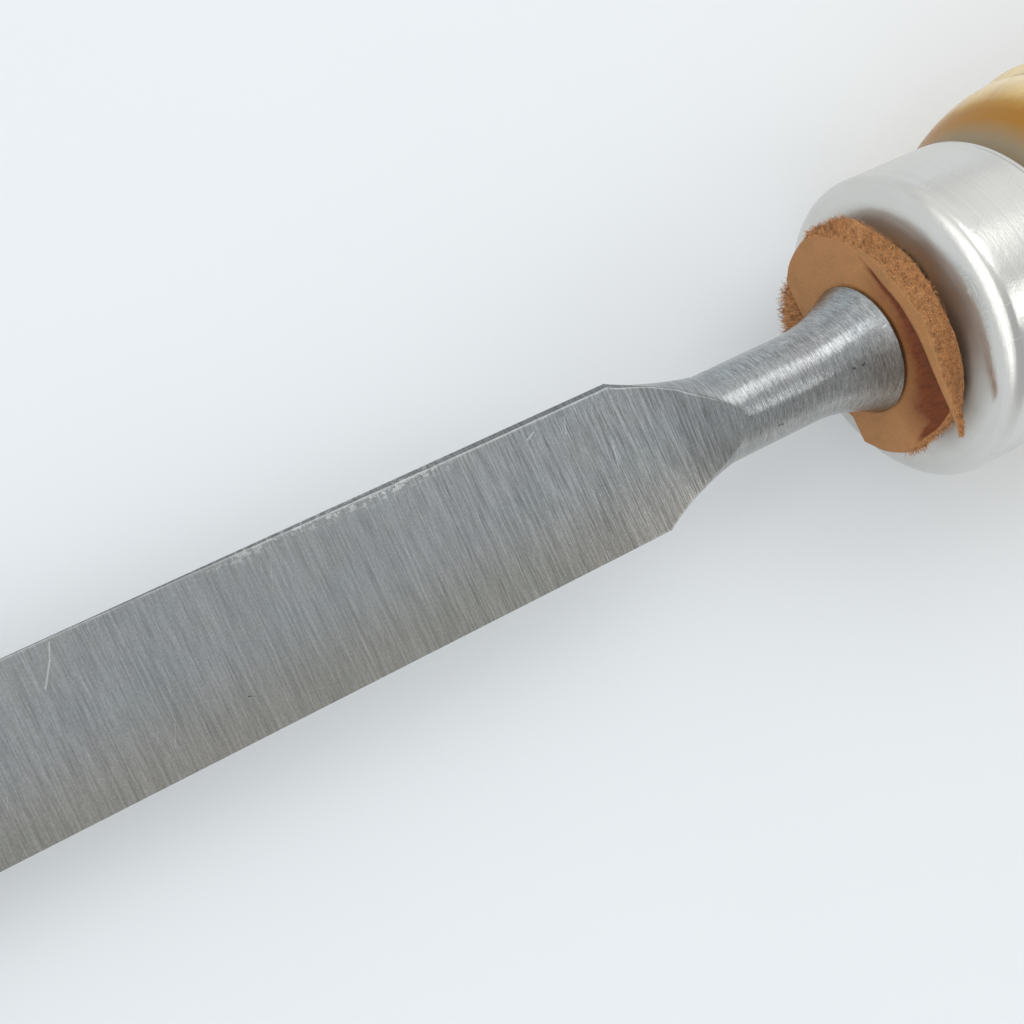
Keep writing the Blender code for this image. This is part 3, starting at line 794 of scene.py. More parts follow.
class Forging:
    """Sections of the blade forging, from the cutting edge to the end of the tang."""

    face_points = 22
    side_points = 18

    def __init__(self, blade):
        self.blade = blade
        self.neck = blade.neck_diameter / 2
        self.bolster = blade.bolster_diameter / 2
        self.flare_from = -blade.bolster_land - blade.flare_length
        self.neck_front = self.flare_from - blade.neck_length
        self.shoulder = self.neck_front - blade.shoulder_length
        self.tip = self.shoulder - blade.length
        self.flat_end = self.shoulder + blade.run_out_setback
        self.run_out_end = self.flat_end + blade.run_out_length
        self.bevel_end = self.tip + blade.thickness_at_tip / math.tan(blade.bevel_angle)

    def stations(self):
        """Places along the axis where a section is drawn, closer together where the shape changes."""
        edge = self.blade.bolster_edge
        spans = (
            (self.tip, self.bevel_end, 10),
            (self.bevel_end, self.shoulder, 200),
            (self.shoulder, self.flat_end, 14),
            (self.flat_end, self.run_out_end, 48),
            (self.run_out_end, self.flare_from, 18),
            (self.flare_from, -self.blade.bolster_land, 24),
            (-self.blade.bolster_land, -edge, 3),
            (-edge, 0.0, 5),
        )
        places = [place for first, last, count in spans for place in between(first, last, count + 1)[:-1]]
        return places + [0.0, 0.00001, self.blade.tang_length]

    def blank(self, along):
        """Half width, half height and roundness of the section before grinding."""
        blade = self.blade
        if along > 0:
            taper = (blade.tang_tip_width - blade.tang_width) * along / blade.tang_length
            half = (blade.tang_width + taper) / 2
            return half, half, 0.0
        edge = blade.bolster_edge
        if along > -edge:
            drop = edge - math.sqrt(max(0.0, edge**2 - (along + edge) ** 2))
            return self.bolster - drop, self.bolster - drop, 1.0
        if along > self.flare_from:
            share = min(1.0, (along - self.flare_from) / blade.flare_length)
            radius = self.neck + (self.bolster - self.neck) * share**blade.flare_power
            return radius, radius, 1.0
        if along > self.shoulder:
            share = min(1.0, (along - self.shoulder) / blade.shoulder_length)
            half = self.neck + (blade.width / 2 - self.neck) * (1 - share) ** blade.shoulder_ease
            return half, self.neck, smooth(share) ** blade.shoulder_rounding
        return blade.width / 2, self.neck, 0.0

    def skin(self, along, angle, side=1):
        """A point of the blank, on the face's side or mirrored to the back."""
        half_width, half_height, roundness = self.blank(along)
        out, up = math.cos(angle), math.sin(angle)
        reach = roundness + (1 - roundness) / max(abs(out), abs(up))
        hand_ground = smooth((along - self.neck_front) / (3 * MM)) * smooth((-0.4 * MM - along) / (1.5 * MM))
        wander = 0.4 * noise.noise(Vector((along * 160, 3.1, 0)))
        flats = math.cos(5 * angle * side + 0.9 + wander) + 0.7 * math.cos(9 * angle * side + 2.4 - wander)
        reach *= 1 + 0.006 * hand_ground * flats
        return half_width * out * reach, half_height * up * reach

    def ground_plane(self, along, side):
        """Height of the ground face at the middle of the section, and its lean across."""
        blade = self.blade
        top = blade.thickness_at_shoulder / 2
        if along <= self.flat_end:
            share = (along - self.tip) / (self.flat_end - self.tip)
            height = blade.thickness_at_tip / 2 * (1 - share) + top * share
            lean = 0.0
        else:
            rise = self.neck - top
            radius = (blade.run_out_length**2 + rise**2) / (2 * rise)
            run = min(along - self.flat_end, 0.9 * radius)
            height = top + radius - math.sqrt(radius**2 - run**2)
            lean = blade.run_out_lean * smooth(run / (1.15 * blade.run_out_length)) * (side > 0)
        if side > 0:
            bevel = (along - self.tip) * math.tan(blade.bevel_angle) - blade.thickness_at_tip / 2 + 0.02 * MM
            height = min(height, bevel)
        return height, lean

    def crossing(self, above, low, high):
        """The angle between two others where the blank passes through the ground plane."""
        for _ in range(40):
            middle = (low + high) / 2
            if above(middle) > 0:
                high = middle
            else:
                low = middle
        return high

    def strip(self, along, side):
        """Points over one face from far to near, their wear and darkness, and the angles at its two sides."""
        height, lean = self.ground_plane(along, side)
        peak = math.pi / 2 + math.atan(lean)

        def above(angle):
            out, up = self.skin(along, angle, side)
            return up - height - lean * out

        count = self.face_points
        if along > 0 or above(peak) <= 0:
            past = max(0.0, along - self.run_out_end)
            spread = 0.05 + 0.5 * smooth(past / (6 * MM))
            angles = between(peak - spread, peak + spread, count + 4)
            points = [self.skin(along, angle, side) for angle in angles]
            return points, [0.0] * (count + 4), [0.0] * (count + 4), angles[0], angles[-1]
        far = self.crossing(above, -1.4, peak)
        near = self.crossing(above, math.pi + 1.4, peak)
        far_at, near_at = self.skin(along, far, side)[0], self.skin(along, near, side)[0]
        room = 0.2 * (far_at - near_at)
        far_cut = min(room, self.chamfer(along, 1))
        near_cut = min(room, self.chamfer(along, -1))
        far_side = far - far_cut / self.speed(along, far, side)
        near_side = near + near_cut / self.speed(along, near, side)
        first, last = far_at - far_cut, near_at + near_cut
        close = [0.0, 0.004, 0.014]
        shares = close + between(0.04, 0.96, count - 6) + [1 - share for share in reversed(close)]
        flat = [first + (last - first) * share for share in shares]
        face = [(out, height + lean * out) for out in flat]
        far_low, near_low = self.skin(along, far_side, side), self.skin(along, near_side, side)
        points = [far_low, self.towards(far_low, face[0])] + face
        points += [self.towards(near_low, face[-1]), near_low]
        worn_far, worn_near = self.arris_wear(along)
        wear = [0.0, 0.0, worn_far, 0.6 * worn_far] + [0.0] * (count - 4)
        wear += [0.6 * worn_near, worn_near, 0.0, 0.0]
        dark = [1.0, 1.0] + [0.0] * count + [0.0, 0.0]
        return points, wear, dark, far_side, near_side

    def towards(self, first, last):
        """A point most of the way from one to another."""
        return tuple(start + 0.88 * (end - start) for start, end in zip(first, last))

    def arris_wear(self, along):
        """How bright the far and near arrises have worn: most round the end of the run-out."""
        tongue = smooth((along - self.shoulder + 4 * MM) / (4 * MM))
        end = smooth((along - self.run_out_end + 3 * MM) / (2.5 * MM))
        patchy = smooth(1.6 * noise.noise(Vector((along * 420, 1.7, 0))) + 0.35)
        straight = smooth((along - self.shoulder + 45 * MM) / (25 * MM))
        return max(0.95 * tongue, 0.9 * straight, 0.6 * patchy), max(0.7 * end, 0.45 * tongue)

    def speed(self, along, angle, side):
        """How far the blank's surface moves for each radian."""
        first, second = self.skin(along, angle - 0.001, side), self.skin(along, angle + 0.001, side)
        return math.dist(first, second) / 0.002

    def chamfer(self, along, edge):
        """Width of the chamfer on the far edge (1) or the near one (-1), with small nicks."""
        share = smooth((along - self.shoulder + 45 * MM) / (36 * MM))
        fade = smooth((along - self.tip) / (8 * MM))
        tongue = smooth((along - self.shoulder) / (3 * MM))
        if edge > 0:
            straight = self.blade.far_chamfer * (0.15 + 0.85 * share) * (1 - tongue)
            width = straight + self.blade.near_chamfer * tongue
        else:
            width = self.blade.near_chamfer
        nick = max(0.0, noise.noise(Vector((along * 900, 7.3 * edge, 0))) - 0.42)
        return fade * (width + nick * 0.12 * MM * (1 - tongue))

    def ring(self, along):
        """Points round one section with their wear and darkness: face, near side, back and far side."""
        top, top_wear, top_dark, far_top, near_top = self.strip(along, 1)
        under, under_wear, under_dark, far_under, near_under = self.strip(along, -1)
        near = between(near_top, 2 * math.pi - near_under, self.side_points + 2)[1:-1]
        far = between(-far_under, far_top, self.side_points + 2)[1:-1]
        section = top + [self.skin(along, angle) for angle in near]
        section += [(out, -up) for out, up in reversed(under)]
        section += [self.skin(along, angle) for angle in far]
        bare = [0.0] * self.side_points
        wear = top_wear + bare + under_wear[::-1] + bare
        dark = top_dark + bare + under_dark[::-1] + bare
        return section, wear, dark


class CHISEL_OT_blade(bpy.types.Operator):
    """Model the blade forging: ground faces, shoulders, neck, bolster and tang"""

    bl_idname = "chisel.blade"
    bl_label = "Blade forging"

    def execute(self, context):
        settings = context.scene.chisel.blade
        forging = Forging(settings)
        rings, marks = [], {"wear": [], "dark": []}
        for along in forging.stations():
            section, worn, dark = forging.ring(along)
            rings.append([(along, out, up) for out, up in section])
            marks["wear"].append(worn)
            marks["dark"].append(dark)
        piece = wrapped_sheet("chisel_blade", rings, marks, sharp_angle=18)
        finish_piece(piece, ground_steel(settings.steel), "ground_steel", "blade_forging")
        return {"FINISHED"}


# The leather washers. Angles are in degrees from the far side, over the top, to the near side at 180.

FRONT_OUTLINE = (
    (-90, 9.6), (-35, 9.5), (-26, 9.75), (-5, 9.9), (2, 9.8), (10, 9.45), (19, 9.1), (27, 8.85), (36, 8.5),
    (60, 8.2), (90, 8.3), (120, 8.6), (140, 8.9), (152, 9.0), (164, 8.85), (175, 9.15), (196, 9.1),
    (207, 8.9), (270, 8.9),
)
FRONT_SLANT = (
    (-90, 0.1), (-35, 0.2), (-10, 0.4), (3, 0.5), (14, 1.2), (26, 1.5), (45, 1.2), (90, 0.4), (270, 0.2),
)
FOLD_FROM, FOLD_TO = 30, 176
FOLD_DEPTH = (
    (30, 0), (40, 0.25), (50, 0.45), (60, 0.6), (75, 0.8), (90, 1.0), (105, 1.2), (120, 1.3), (140, 1.3),
    (152, 0.8), (164, 0.3), (176, 0),
)
FOLD_WIDTH = ((30, 0.9), (50, 1.0), (75, 1.4), (105, 1.9), (140, 2.2), (176, 2.2))
# How dark the fold is round the washer: a real stain together with painted shade where the face dips under
# the flap.
FOLD_STAIN_AND_SHADE = ((34, 0), (50, 0.4), (75, 0.65), (95, 0.9), (110, 1.0), (145, 1.0), (158, 0.5), (172, 0))
FLAP_INNER = (
    (10, 8.4), (33, 8.0), (45, 7.5), (55, 7.2), (65, 7.25), (75, 7.4), (85, 7.5), (94, 7.75), (102, 8.0),
    (110, 8.3), (118, 8.85), (125, 9.5), (130, 10.15), (136, 11.0), (140.5, 11.55),
)
FLAP_OUTER = (
    (10, 8.5), (27, 8.85), (43, 8.75), (60, 8.5), (70, 8.7), (78, 8.9), (86, 9.2), (93, 9.25), (100, 9.25),
    (112, 9.5), (119, 9.8), (125, 10.25), (130, 10.7), (136, 11.25), (140.5, 11.6),
)
FLAP_REAR = (
    (10, 10.3), (24, 10.6), (34, 10.25), (50, 9.95), (65, 9.75), (79, 9.65), (100, 9.55), (115, 9.6),
    (122, 9.8), (128, 10.1), (134, 10.6), (140.5, 11.45),
)
FLAP_LIFT = (
    (10, -0.5), (28, -0.2), (38, 0.0), (50, 0.1), (65, 0.3), (90, 0.5), (115, 0.55), (130, 0.45),
    (140.5, 0.3),
)
FLAP_THICKNESS = ((10, 0.6), (35, 0.9), (60, 1.2), (110, 1.15), (128, 0.8), (140.5, 0.3))
REAR_OUTLINE = (
    (-90, 8.6), (-80, 9.4), (-70, 9.9), (-55, 9.9), (-42, 9.6), (-30, 8.8), (0, 8.6), (60, 8.4), (90, 7.0),
    (150, 7.0), (175, 8.4), (200, 8.7), (240, 8.6), (270, 8.6),
)
REAR_RISE = ((-88, 0.0), (-76, 0.7), (-44, 0.8), (-32, 0.1), (0, 0.0))
RIM_RADIUS = 9.5
TRIM_HEIGHT, TRIM_RISE, TRIM_RUN = 5.15, 0.38, 0.7
EDGE_BULGE = 0.12
EDGE_RUFFLE = 0.05
FIBRE_SEED = 7
RUFFLE_SEED = 7


def polar(along, angle, radius):
    """A point of a washer from millimetres and degrees."""
    turn = math.radians(angle)
    return (along * MM, radius * math.cos(turn) * MM, radius * math.sin(turn) * MM)


def ruffled(point, amount, pitch):
    """A point of a torn edge pushed about by coarse and fine noise."""
    place = Vector(point) / MM
    push = noise.noise_vector(place * pitch) + 0.6 * noise.noise_vector(place * pitch * 2.7)
    return tuple(Vector(point) + push * amount * MM)


def washer_section(angle, face, edge, back, stain_and_shade):
    """One closed section of a washer from three runs of (along, radius), with its marks."""
    runs = [polar(along, angle, radius) for along, radius in face]
    runs += [ruffled(polar(along, angle, radius), EDGE_RUFFLE, 2.4) for along, radius in edge]
    runs += [polar(along, angle, radius) for along, radius in back]
    plain = len(edge) + len(back)
    marks = {
        "cut": [0.0] * len(face) + [1.0] * plain,
        "stain_and_shade": stain_and_shade + [0.0] * plain,
        "arc": [math.radians(angle) * RIM_RADIUS] * len(runs),
        "deep": [0.0] * len(face) + [math.dist(place, edge[0]) for place in edge + back],
    }
    return runs, marks


def cut_edge(front, rear, count):
    """Points down a cut edge between two corners, bulged a little."""
    points = []
    for share in between(0.0, 1.0, count):
        along, radius = (first + (last - first) * share for first, last in zip(front, rear))
        points.append((along, radius + EDGE_BULGE * math.sin(math.pi * share)))
    return points


def front_section(angle, leather):
    """Section of the front washer, trimmed straight along its bottom and folded back under the flap, with its
    stain and painted shade.
    """
    radius = outline_at(FRONT_OUTLINE, angle)
    rise = math.sin(math.radians(angle))
    if rise < 0:
        trim = TRIM_HEIGHT + TRIM_RISE * math.cos(math.radians(angle)) / TRIM_RUN
        radius = min(radius, trim / -rise)
    at, thickness = leather.front_at / MM, leather.front_thickness / MM
    hole = leather.hole / MM
    folded = FOLD_FROM < angle < FOLD_TO
    fold = outline_at(FOLD_DEPTH, angle) if folded else 0.0
    width = outline_at(FOLD_WIDTH, angle)
    crease = min(outline_at(FLAP_INNER, angle), radius) if folded and angle < 140 else radius

    def dip(there):
        return fold * smooth((there - crease + width) / width)

    ring = between(hole, crease - width, 6)[:-1] + between(crease - width, crease, 10)[:-1]
    ring += between(crease if radius - crease > 0.2 else crease - 0.2, radius - 0.06, 4)
    ring.sort()
    face = [(at + dip(there), there) for there in ring] + [(at + 0.05 + dip(radius), radius)]
    slant = max(0.0, outline_at(FRONT_SLANT, angle) if radius > 8.3 else 0.05)
    rear = (at + thickness + 0.8 * dip(radius), radius + slant)
    edge = cut_edge((at + 0.12 + dip(radius), radius + 0.03), rear, 9)
    back = [(rear[0], radius * 0.8), (at + thickness, hole)]
    stained_and_shaded = outline_at(FOLD_STAIN_AND_SHADE, angle) if folded else 0.0
    # Painted shadow: a dark line along the crease, as the flap's edge would cast it, widened where the flap
    # is lifted and the face dips.
    line = smooth((angle - 36) / 10) * smooth((172 - angle) / 12)
    lift = max(0.0, outline_at(FLAP_LIFT, angle))
    stain_and_shade = []
    for _, there in face:
        hidden = 1.4 * max(0.0, rise) * (lift + dip(there))
        spread = smooth((there + 0.7 * hidden - 4.6) / (crease - 4.8)) ** 0.8
        stain_and_shade.append(max(stained_and_shaded * spread, line * smooth((there + hidden + 0.45 - crease) / 0.4)))
    return washer_section(angle, face, edge, back, stain_and_shade)


def flap_section(angle, leather):
    """Section of the strip that has come away from the front washer and ends in a point."""
    inner, outer = outline_at(FLAP_INNER, angle), outline_at(FLAP_OUTER, angle)
    behind = outline_at(FLAP_REAR, angle)
    at = leather.front_at / MM - outline_at(FLAP_LIFT, angle)
    thickness = outline_at(FLAP_THICKNESS, angle) + max(0.0, outline_at(FLAP_LIFT, angle))
    broad = outer - inner
    ring = between(inner + 0.3 * broad, outer - 0.05, 6)
    face = [(at + 0.3 * thickness, inner), (at + 0.12 * thickness, inner + 0.05 * broad)]
    face += [(at + 0.03 * thickness, inner + 0.14 * broad)]
    face += [(at, there) for there in ring] + [(at + 0.05, outer)]
    edge = cut_edge((at + 0.12, outer + 0.03), (at + thickness, behind), 9)
    back = [(at + thickness, inner + 0.3 * (behind - inner)), (at + 0.7 * thickness, inner + 0.03)]
    # Painted shadow: a dark line along the flap's inner edge.
    return washer_section(angle, face, edge, back, [1.0, 0.7, 0.3] + [0.0] * (len(face) - 3))


def rear_section(angle, leather):
    """Section of the rear washer, whose rough side shows at the lower far edge."""
    radius = outline_at(REAR_OUTLINE, angle)
    rise = outline_at(REAR_RISE, angle) if angle < 0 else 0.0
    at, thickness = leather.rear_at / MM, leather.rear_thickness / MM
    hole = leather.hole / MM
    ring = between(hole, radius - 0.1, 10)
    face = [(at - rise * smooth((there - 5.0) / 2.0), there) for there in ring]
    edge = cut_edge((at - rise + 0.1, radius), (at + thickness, radius + 0.05), 8)
    back = [(at + thickness, radius * 0.8), (at + thickness, hole)]
    # Painted shade: the rough side darkens towards the hole, where the front washer covers it.
    shade = [0.9 - 0.9 * smooth((there - 6.5) / (radius - 6.5)) for _, there in face]
    points, marks = washer_section(angle, face, edge, back, shade)
    rough = [ruffled(point, 0.07 * min(1.0, rise * 2), 2.0) for point in points[: len(face)]]
    marks["cut"] = [1.0] * len(points)
    marks["deep"] = [(radius - there) for _, there in face] + marks["deep"][len(face) :]
    return rough + points[len(face) :], marks


def washer(name, section, angles, closed, leather):
    """A washer or strip wrapped from its sections."""
    rows = [section(angle, leather) for angle in angles]
    if closed:
        rows[-1] = rows[0]
    rings = [points for points, _ in rows]
    marks = {title: [values[title] for _, values in rows] for title in rows[0][1]}
    return wrapped_sheet(name, rings, marks, sharp_angle=50)


def single_fibre():
    """Corners and faces of one tapered, bent fibre, 1 long."""
    start_alone()
    bpy.ops.mesh.primitive_cone_add(vertices=3, radius1=0.045, radius2=0.014, depth=1.0, location=(0, 0, 0.5))
    fibre = bpy.context.object
    bpy.ops.object.transform_apply(location=True, rotation=True, scale=True)
    bpy.ops.object.mode_set(mode="EDIT")
    for height, bow in ((0.35, 0.09), (0.7, 0.06)):
        bpy.ops.mesh.select_all(action="SELECT")
        bpy.ops.mesh.bisect(plane_co=(0, 0, height), plane_no=(0, 0, 1))
        bpy.ops.transform.translate(value=(bow, 0, 0))
    bpy.ops.object.mode_set(mode="OBJECT")
    corners = [vertex.co.copy() for vertex in fibre.data.vertices]
    faces = [tuple(polygon.vertices) for polygon in fibre.data.polygons]
    bpy.data.objects.remove(fibre, do_unlink=True)
    return corners, faces


def fibre_roots(leather, count):
    """Seeded roots on the cut edges: place, outward direction, roll and length in millimetres."""
    chance = random.Random(FIBRE_SEED)
    stretches = (
        (front_section, -6, 38, 4.0, False),
        (flap_section, 34, 139, 8.0, False),
        (front_section, 142, 182, 1.5, False),
        (rear_section, -82, -38, 5.0, True),
    )
    weights = [stretch[3] for stretch in stretches]
    roots = []
    for _ in range(count):
        section, first, last, _, on_face = chance.choices(stretches, weights)[0]
        angle = chance.uniform(first, last)
        points, marks = section(angle, leather)
        rough = [index for index, cut in enumerate(marks["cut"]) if cut > 0.5]
        place = Vector(points[chance.choice(rough[4:18] if on_face else rough[:9])])
        turn = math.radians(angle)
        out = Vector((-0.35 - 0.5 * on_face, math.cos(turn), math.sin(turn)))
        along = Vector((0, -math.sin(turn), math.cos(turn))) * chance.gauss(0, 0.9)
        lean = Vector([chance.gauss(0, 0.3) for _ in range(3)])
        direction = (out + along + lean).normalized()
        roll = chance.uniform(0, 6.28)
        length = chance.triangular(0.18, 0.7, 0.3) * (1 + 0.5 * on_face)
        roots.append((place, direction, roll, length))
    return roots


def fibre_tufts(leather):
    """All the loose fibres as one mesh, each a copy of the single one."""
    corners, faces = single_fibre()
    all_corners, all_faces = [], []
    for place, direction, roll, length in fibre_roots(leather, leather.fibres):
        turn = direction.to_track_quat("Z", "Y").to_matrix() @ Matrix.Rotation(roll, 3, "Z")
        root = place - direction * 0.05 * MM
        first = len(all_corners)
        all_corners += [root + turn @ (corner * length * MM) for corner in corners]
        all_faces += [tuple(first + index for index in face) for face in faces]
    mesh = bpy.data.meshes.new("washer_fibres")
    mesh.from_pydata(all_corners, [], all_faces)
    piece = bpy.data.objects.new("washer_fibres", mesh)
    bpy.context.scene.collection.objects.link(piece)
    start_alone()
    piece.select_set(True)
    bpy.context.view_layer.objects.active = piece
    lay_down(piece, sharp_angle=60)
    return piece


class CHISEL_OT_washers(bpy.types.Operator):
    """Model the leather washers with their torn strip and loose fibres"""

    bl_idname = "chisel.washers"
    bl_label = "Leather washers"

    def execute(self, context):
        leather = context.scene.chisel.leather
        # Without a seed the vector noise of the torn edges differs from run to run
        noise.seed_set(RUFFLE_SEED)
        smooth_side = tan_leather(leather)
        front = washer("front_washer", front_section, between(-90, 270, 241), True, leather)
        finish_piece(front, smooth_side, "tan_leather", "front_leather_washer")
        flap = washer("washer_flap", flap_section, between(12, 140.5, 110), False, leather)
        finish_piece(flap, smooth_side, "tan_leather")
        rear = washer("rear_washer", rear_section, between(-90, 270, 181), True, leather)
        finish_piece(rear, smooth_side, "tan_leather_rear", "rear_leather_washer")
        finish_piece(fibre_tufts(leather), loose_fibre(leather), "tan_leather_rear")
        return {"FINISHED"}


# The ferrule, the handle and the hoop


def ferrule_outline(ferrule, hole):
    """Closed section of the ferrule, from its rear rim over the lip to the inside."""
    outer = ferrule.diameter / 2
    inner = outer - ferrule.wall
    end = ferrule.at + ferrule.length
    line, half = end - ferrule.rim_line_setback, ferrule.rim_line_width / 2
    points = [(end, inner), (end, outer - ferrule.rear_edge)]
    points += rounded(end - ferrule.rear_edge, outer - ferrule.rear_edge, ferrule.rear_edge, 15, 90, 5)
    points += [(line + half, outer), (line + half / 2, outer - ferrule.rim_line_depth)]
    points += [(line - half / 2, outer - ferrule.rim_line_depth), (line - half, outer)]
    points += [(place, outer) for place in between(line - 3 * half, ferrule.at + ferrule.lip * 1.2, 6)]
    for turn in between(0.0, math.pi / 2, 20):
        along = ferrule.at + ferrule.lip * (1 - math.sin(turn))
        points.append((along, outer - ferrule.lip_reach * (1 - math.cos(turn))))
    points += [(ferrule.at, radius) for radius in between(outer - ferrule.lip_reach * 1.2, hole, 6)]
    points += [(ferrule.at + ferrule.wall, hole), (ferrule.at + ferrule.wall, inner - ferrule.lip)]
    points += [(ferrule.at + ferrule.lip, inner)]
    return points


def handle_places(handle):
    """Places along the axis: top of the bead, groove, fullest ring, waist, swell and hoop."""
    places = [handle.at + handle.bead_length]
    for length in (
        handle.groove_setback,
        handle.ring_rise_length,
        handle.waist_length,
        handle.swell_length,
        handle.hoop_shoulder_length,
    ):
        places.append(places[-1] + length)
    return places


def handle_outline(handle, hoop, spigot_at, spigot_radius):
    """Half outline of the handle, from the middle of the crown to the spigot inside the ferrule."""
    bead, groove, ring, waist, swell, hoop_at = handle_places(handle)
    hoop_end = hoop_at + hoop.width
    seat = hoop.diameter / 2 - hoop.wall - hoop.seat_gap
    angles = between(0.0, math.pi / 2, 12)
    points = [(hoop_end + handle.crown_height * math.cos(turn), seat * math.sin(turn)) for turn in angles]
    points.append((hoop_at - hoop.seat_gap / 2, seat))
    groove_bottom = handle.bead_diameter / 2 - handle.groove_depth
    for start, end, length, place in (
        (hoop.diameter / 2 - hoop.edge, handle.swell_diameter / 2, handle.hoop_shoulder_length, swell),
        (handle.swell_diameter / 2, handle.waist_diameter / 2, handle.swell_length, waist),
        (handle.waist_diameter / 2, handle.ring_diameter / 2, handle.waist_length, ring),
        (handle.ring_diameter / 2, groove_bottom, handle.ring_rise_length, groove),
        (groove_bottom, handle.bead_diameter / 2, handle.groove_setback, bead),
    ):
        for share in between(0.0, 1.0, 16):
            along = min(place + length * (1 - share), hoop_at - hoop.seat_gap / 2)
            points.append((along, start + (end - start) * smooth(share)))
    rise = (handle.bead_diameter - handle.shoulder_diameter) / 2
    power = 2 / handle.bead_power
    for turn in between(0.0, math.pi / 2, 18):
        along = handle.at + handle.bead_length * (1 - math.sin(turn) ** power)
        points.append((along, handle.shoulder_diameter / 2 + rise * abs(math.cos(turn)) ** power))
    points += [(handle.at, spigot_radius), (spigot_at, spigot_radius), (spigot_at, 0.0)]
    steps = zip(points, points[1:])
    return points[:1] + [point for before, point in steps if math.dist(before, point) > WELD]


def hoop_outline(handle, hoop):
    """Closed section of the hoop, with rounded edges."""
    at = handle_places(handle)[-1]
    end = at + hoop.width
    outer = hoop.diameter / 2
    inner = outer - hoop.wall
    points = [(end, inner)]
    points += rounded(end - hoop.edge, outer - hoop.edge, hoop.edge, 0, 90, 7)
    points += [(place, outer) for place in between(end - 1.5 * hoop.edge, at + 1.5 * hoop.edge, 5)]
    points += rounded(at + hoop.edge, outer - hoop.edge, hoop.edge, 90, 180, 7)
    points.append((at, inner))
    return points


class CHISEL_OT_ferrule(bpy.types.Operator):
    """Spin the polished ferrule"""

    bl_idname = "chisel.ferrule"
    bl_label = "Ferrule"

    def execute(self, context):
        chisel = context.scene.chisel
        outline = ferrule_outline(chisel.ferrule, chisel.leather.hole)
        piece = turned_piece("turned_ferrule", outline, closed=True)
        finish = {"roughness": 0.17, "front_roughness": 0.42, "line_bump": 0.2, "speckle": 1.0}
        material = turned_metal("polished_ferrule", chisel.ferrule.metal, **finish)
        finish_piece(piece, material, "polished_ferrule", "ferrule")
        return {"FINISHED"}


class CHISEL_OT_handle(bpy.types.Operator):
    """Spin the lacquered handle"""

    bl_idname = "chisel.handle"
    bl_label = "Handle"

    def execute(self, context):
        chisel = context.scene.chisel
        ferrule = chisel.ferrule
        spigot = ferrule.diameter / 2 - ferrule.wall - chisel.hoop.seat_gap
        outline = handle_outline(chisel.handle, chisel.hoop, ferrule.at + 2 * ferrule.lip, spigot)
        piece = turned_piece("turned_handle", outline, closed=False)
        finish_piece(piece, lacquered_wood(chisel.handle), "lacquered_wood", "handle")
        return {"FINISHED"}


class CHISEL_OT_hoop(bpy.types.Operator):
    """Spin the striking hoop"""

    bl_idname = "chisel.hoop"
    bl_label = "Striking hoop"

    def execute(self, context):
        chisel = context.scene.chisel
        piece = turned_piece("turned_hoop", hoop_outline(chisel.handle, chisel.hoop), closed=True)
        finish = {"roughness": 0.28, "front_roughness": 0.28, "line_bump": 0.3, "speckle": 0.8}
        material = turned_metal("hoop_metal", chisel.hoop.metal, **finish)
        finish_piece(piece, material, "hoop_metal", "striking_hoop")
        return {"FINISHED"}


# The stage. Places and sizes of lamps are in metres.

FAR_LAMP_AT, FAR_LAMP_SIZE = (0.11, 0.25, 0.46), (0.44, 0.26)
HANDLE_LAMP_AT, HANDLE_LAMP_SIZE = (0.43, -0.14, 0.46), (0.18, 0.22)
HANDLE_LAMP_SHARE = 0.55
SKY_NEAR = (0.42, 0.43, 0.44, 1.0)
SKY_FAR = (0.76, 0.77, 0.78, 1.0)
SKY_TIP_SIDE = (1.5, 1.52, 1.53, 1.0)
SKY_LOW = (0.6, 0.61, 0.62, 1.0)
CAMERA_AT = (-0.056894, 0.00476, 0.094727)
CAMERA_DEGREES = (7.6792, -22.0934, -26.8304)
SENSOR_WIDTH_MM = 36.0
FLOOR_SIZE = 6.0


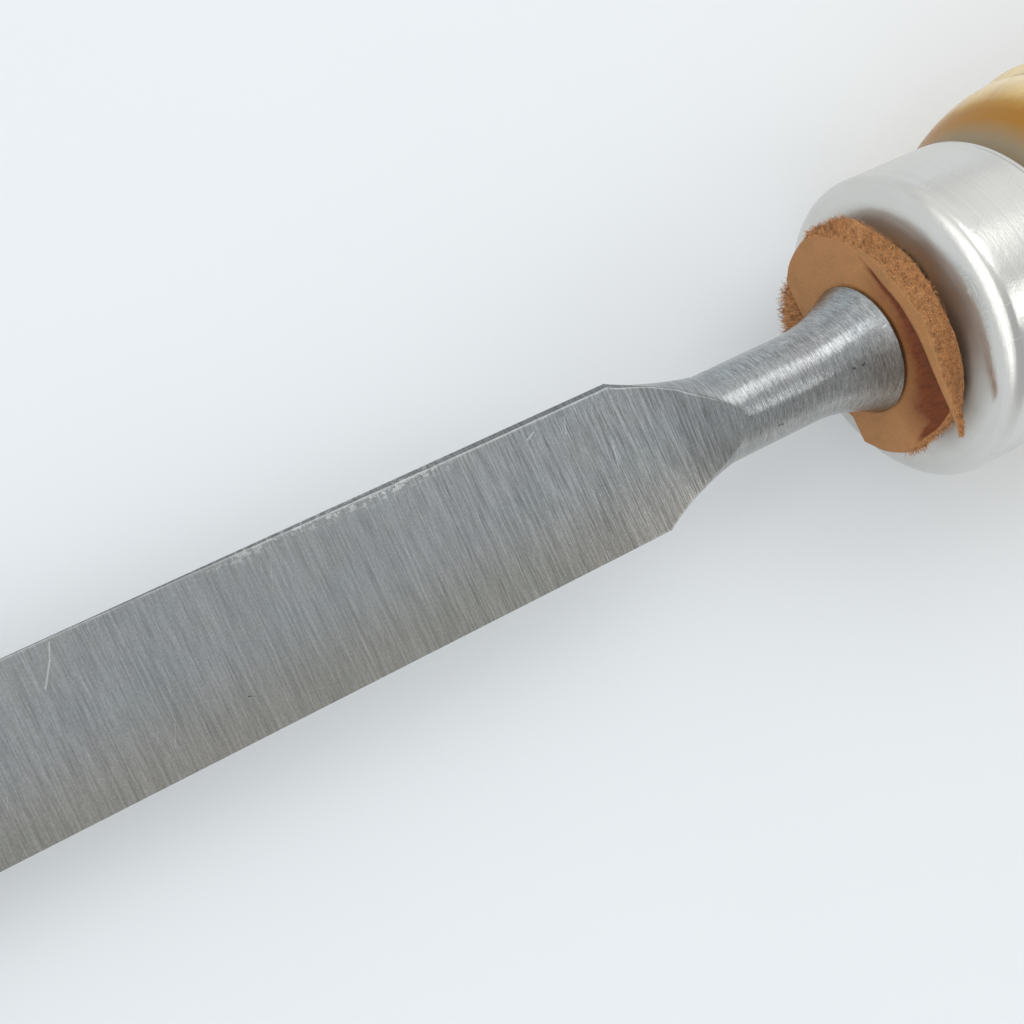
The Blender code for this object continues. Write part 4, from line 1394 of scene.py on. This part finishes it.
class CHISEL_OT_stage(bpy.types.Operator):
    """Set the pale floor, the soft light and the camera"""

    bl_idname = "chisel.stage"
    bl_label = "Stage"

    def execute(self, context):
        stage = context.scene.chisel.stage
        self.lay_floor(stage)
        self.light_sky(context.scene, stage)
        self.hang_lamp("far_lamp", FAR_LAMP_AT, FAR_LAMP_SIZE, stage.key_power)
        self.hang_lamp("handle_lamp", HANDLE_LAMP_AT, HANDLE_LAMP_SIZE, HANDLE_LAMP_SHARE * stage.key_power)
        self.aim_camera(context.scene, stage)
        context.scene.view_settings.view_transform = "Standard"
        return {"FINISHED"}

    def lay_floor(self, stage):
        """A wide floor at the height that the chisel lies on."""
        start_alone()
        bpy.ops.mesh.primitive_plane_add(size=FLOOR_SIZE)
        floor = bpy.context.object
        floor.name = "floor"
        floor.data.materials.append(pale_floor(stage))

    def light_sky(self, scene, stage):
        """Soft light from all round, brighter on the far side and towards the tip."""
        world = bpy.data.worlds.new("studio")
        world.use_nodes = True
        scene.world = world
        tree = world.node_tree
        way = put(tree, "ShaderNodeTexCoord", output="Generated")
        colour = blend(remap(axis(way, 1), -0.35, 0.45), SKY_NEAR, SKY_FAR)
        colour = blend(remap(axis(way, 0), -0.5, -0.8), colour, SKY_TIP_SIDE)
        colour = blend(remap(axis(way, 2), 0.05, 0.3, 1.0, 0.0), colour, SKY_LOW)
        seen = put(tree, "ShaderNodeLightPath", output="Is Camera Ray")
        colour = blend(seen, colour, rgba(stage.backdrop))
        plug(tree.nodes["Background"], {"Color": colour, "Strength": stage.sky})

    def hang_lamp(self, name, place, width, power):
        """A soft lamp that points at the middle of the chisel."""
        lamp = bpy.data.lights.new(name, "AREA")
        lamp.shape = "RECTANGLE"
        lamp.size, lamp.size_y = width
        lamp.energy = power
        holder = bpy.data.objects.new(name, lamp)
        holder.location = place
        holder.rotation_euler = Vector(place).to_track_quat("Z", "Y").to_euler()
        bpy.context.scene.collection.objects.link(holder)

    def aim_camera(self, scene, stage):
        """The camera of the photo."""
        camera = bpy.data.cameras.new("camera")
        camera.lens = stage.lens
        camera.sensor_width = SENSOR_WIDTH_MM
        camera.clip_start = MM
        holder = bpy.data.objects.new("camera", camera)
        holder.location = CAMERA_AT
        holder.rotation_euler = [math.radians(angle) for angle in CAMERA_DEGREES]
        scene.collection.objects.link(holder)
        scene.camera = holder


class CHISEL_PT_panel(bpy.types.Panel):
    """Lists the pieces of the chisel"""

    bl_idname = "CHISEL_PT_panel"
    bl_label = "Bench chisel"
    bl_space_type = "VIEW_3D"
    bl_region_type = "UI"
    bl_category = "Chisel"

    def draw(self, context):
        for operator in OPERATORS:
            self.layout.operator(operator.bl_idname)
        for part in ChiselSettings.__annotations__:
            group = getattr(context.scene.chisel, part)
            box = self.layout.box()
            box.label(text=part.title())
            for name in group.__annotations__:
                box.prop(group, name)


SETTINGS = (
    BladeSettings,
    LeatherSettings,
    FerruleSettings,
    HandleSettings,
    HoopSettings,
    StageSettings,
    ChiselSettings,
)
OPERATORS = (
    CHISEL_OT_stage,
    CHISEL_OT_blade,
    CHISEL_OT_washers,
    CHISEL_OT_ferrule,
    CHISEL_OT_handle,
    CHISEL_OT_hoop,
)


def register():
    for part in (*SETTINGS, *OPERATORS, CHISEL_PT_panel):
        bpy.utils.register_class(part)
    bpy.types.Scene.chisel = bpy.props.PointerProperty(type=ChiselSettings)


def unregister():
    del bpy.types.Scene.chisel
    for part in reversed((*SETTINGS, *OPERATORS, CHISEL_PT_panel)):
        bpy.utils.unregister_class(part)


def main():
    register()
    bpy.ops.chisel.stage()
    bpy.ops.chisel.blade()
    bpy.ops.chisel.washers()
    bpy.ops.chisel.ferrule()
    bpy.ops.chisel.handle()
    bpy.ops.chisel.hoop()


if __name__ == "__main__":
    main()
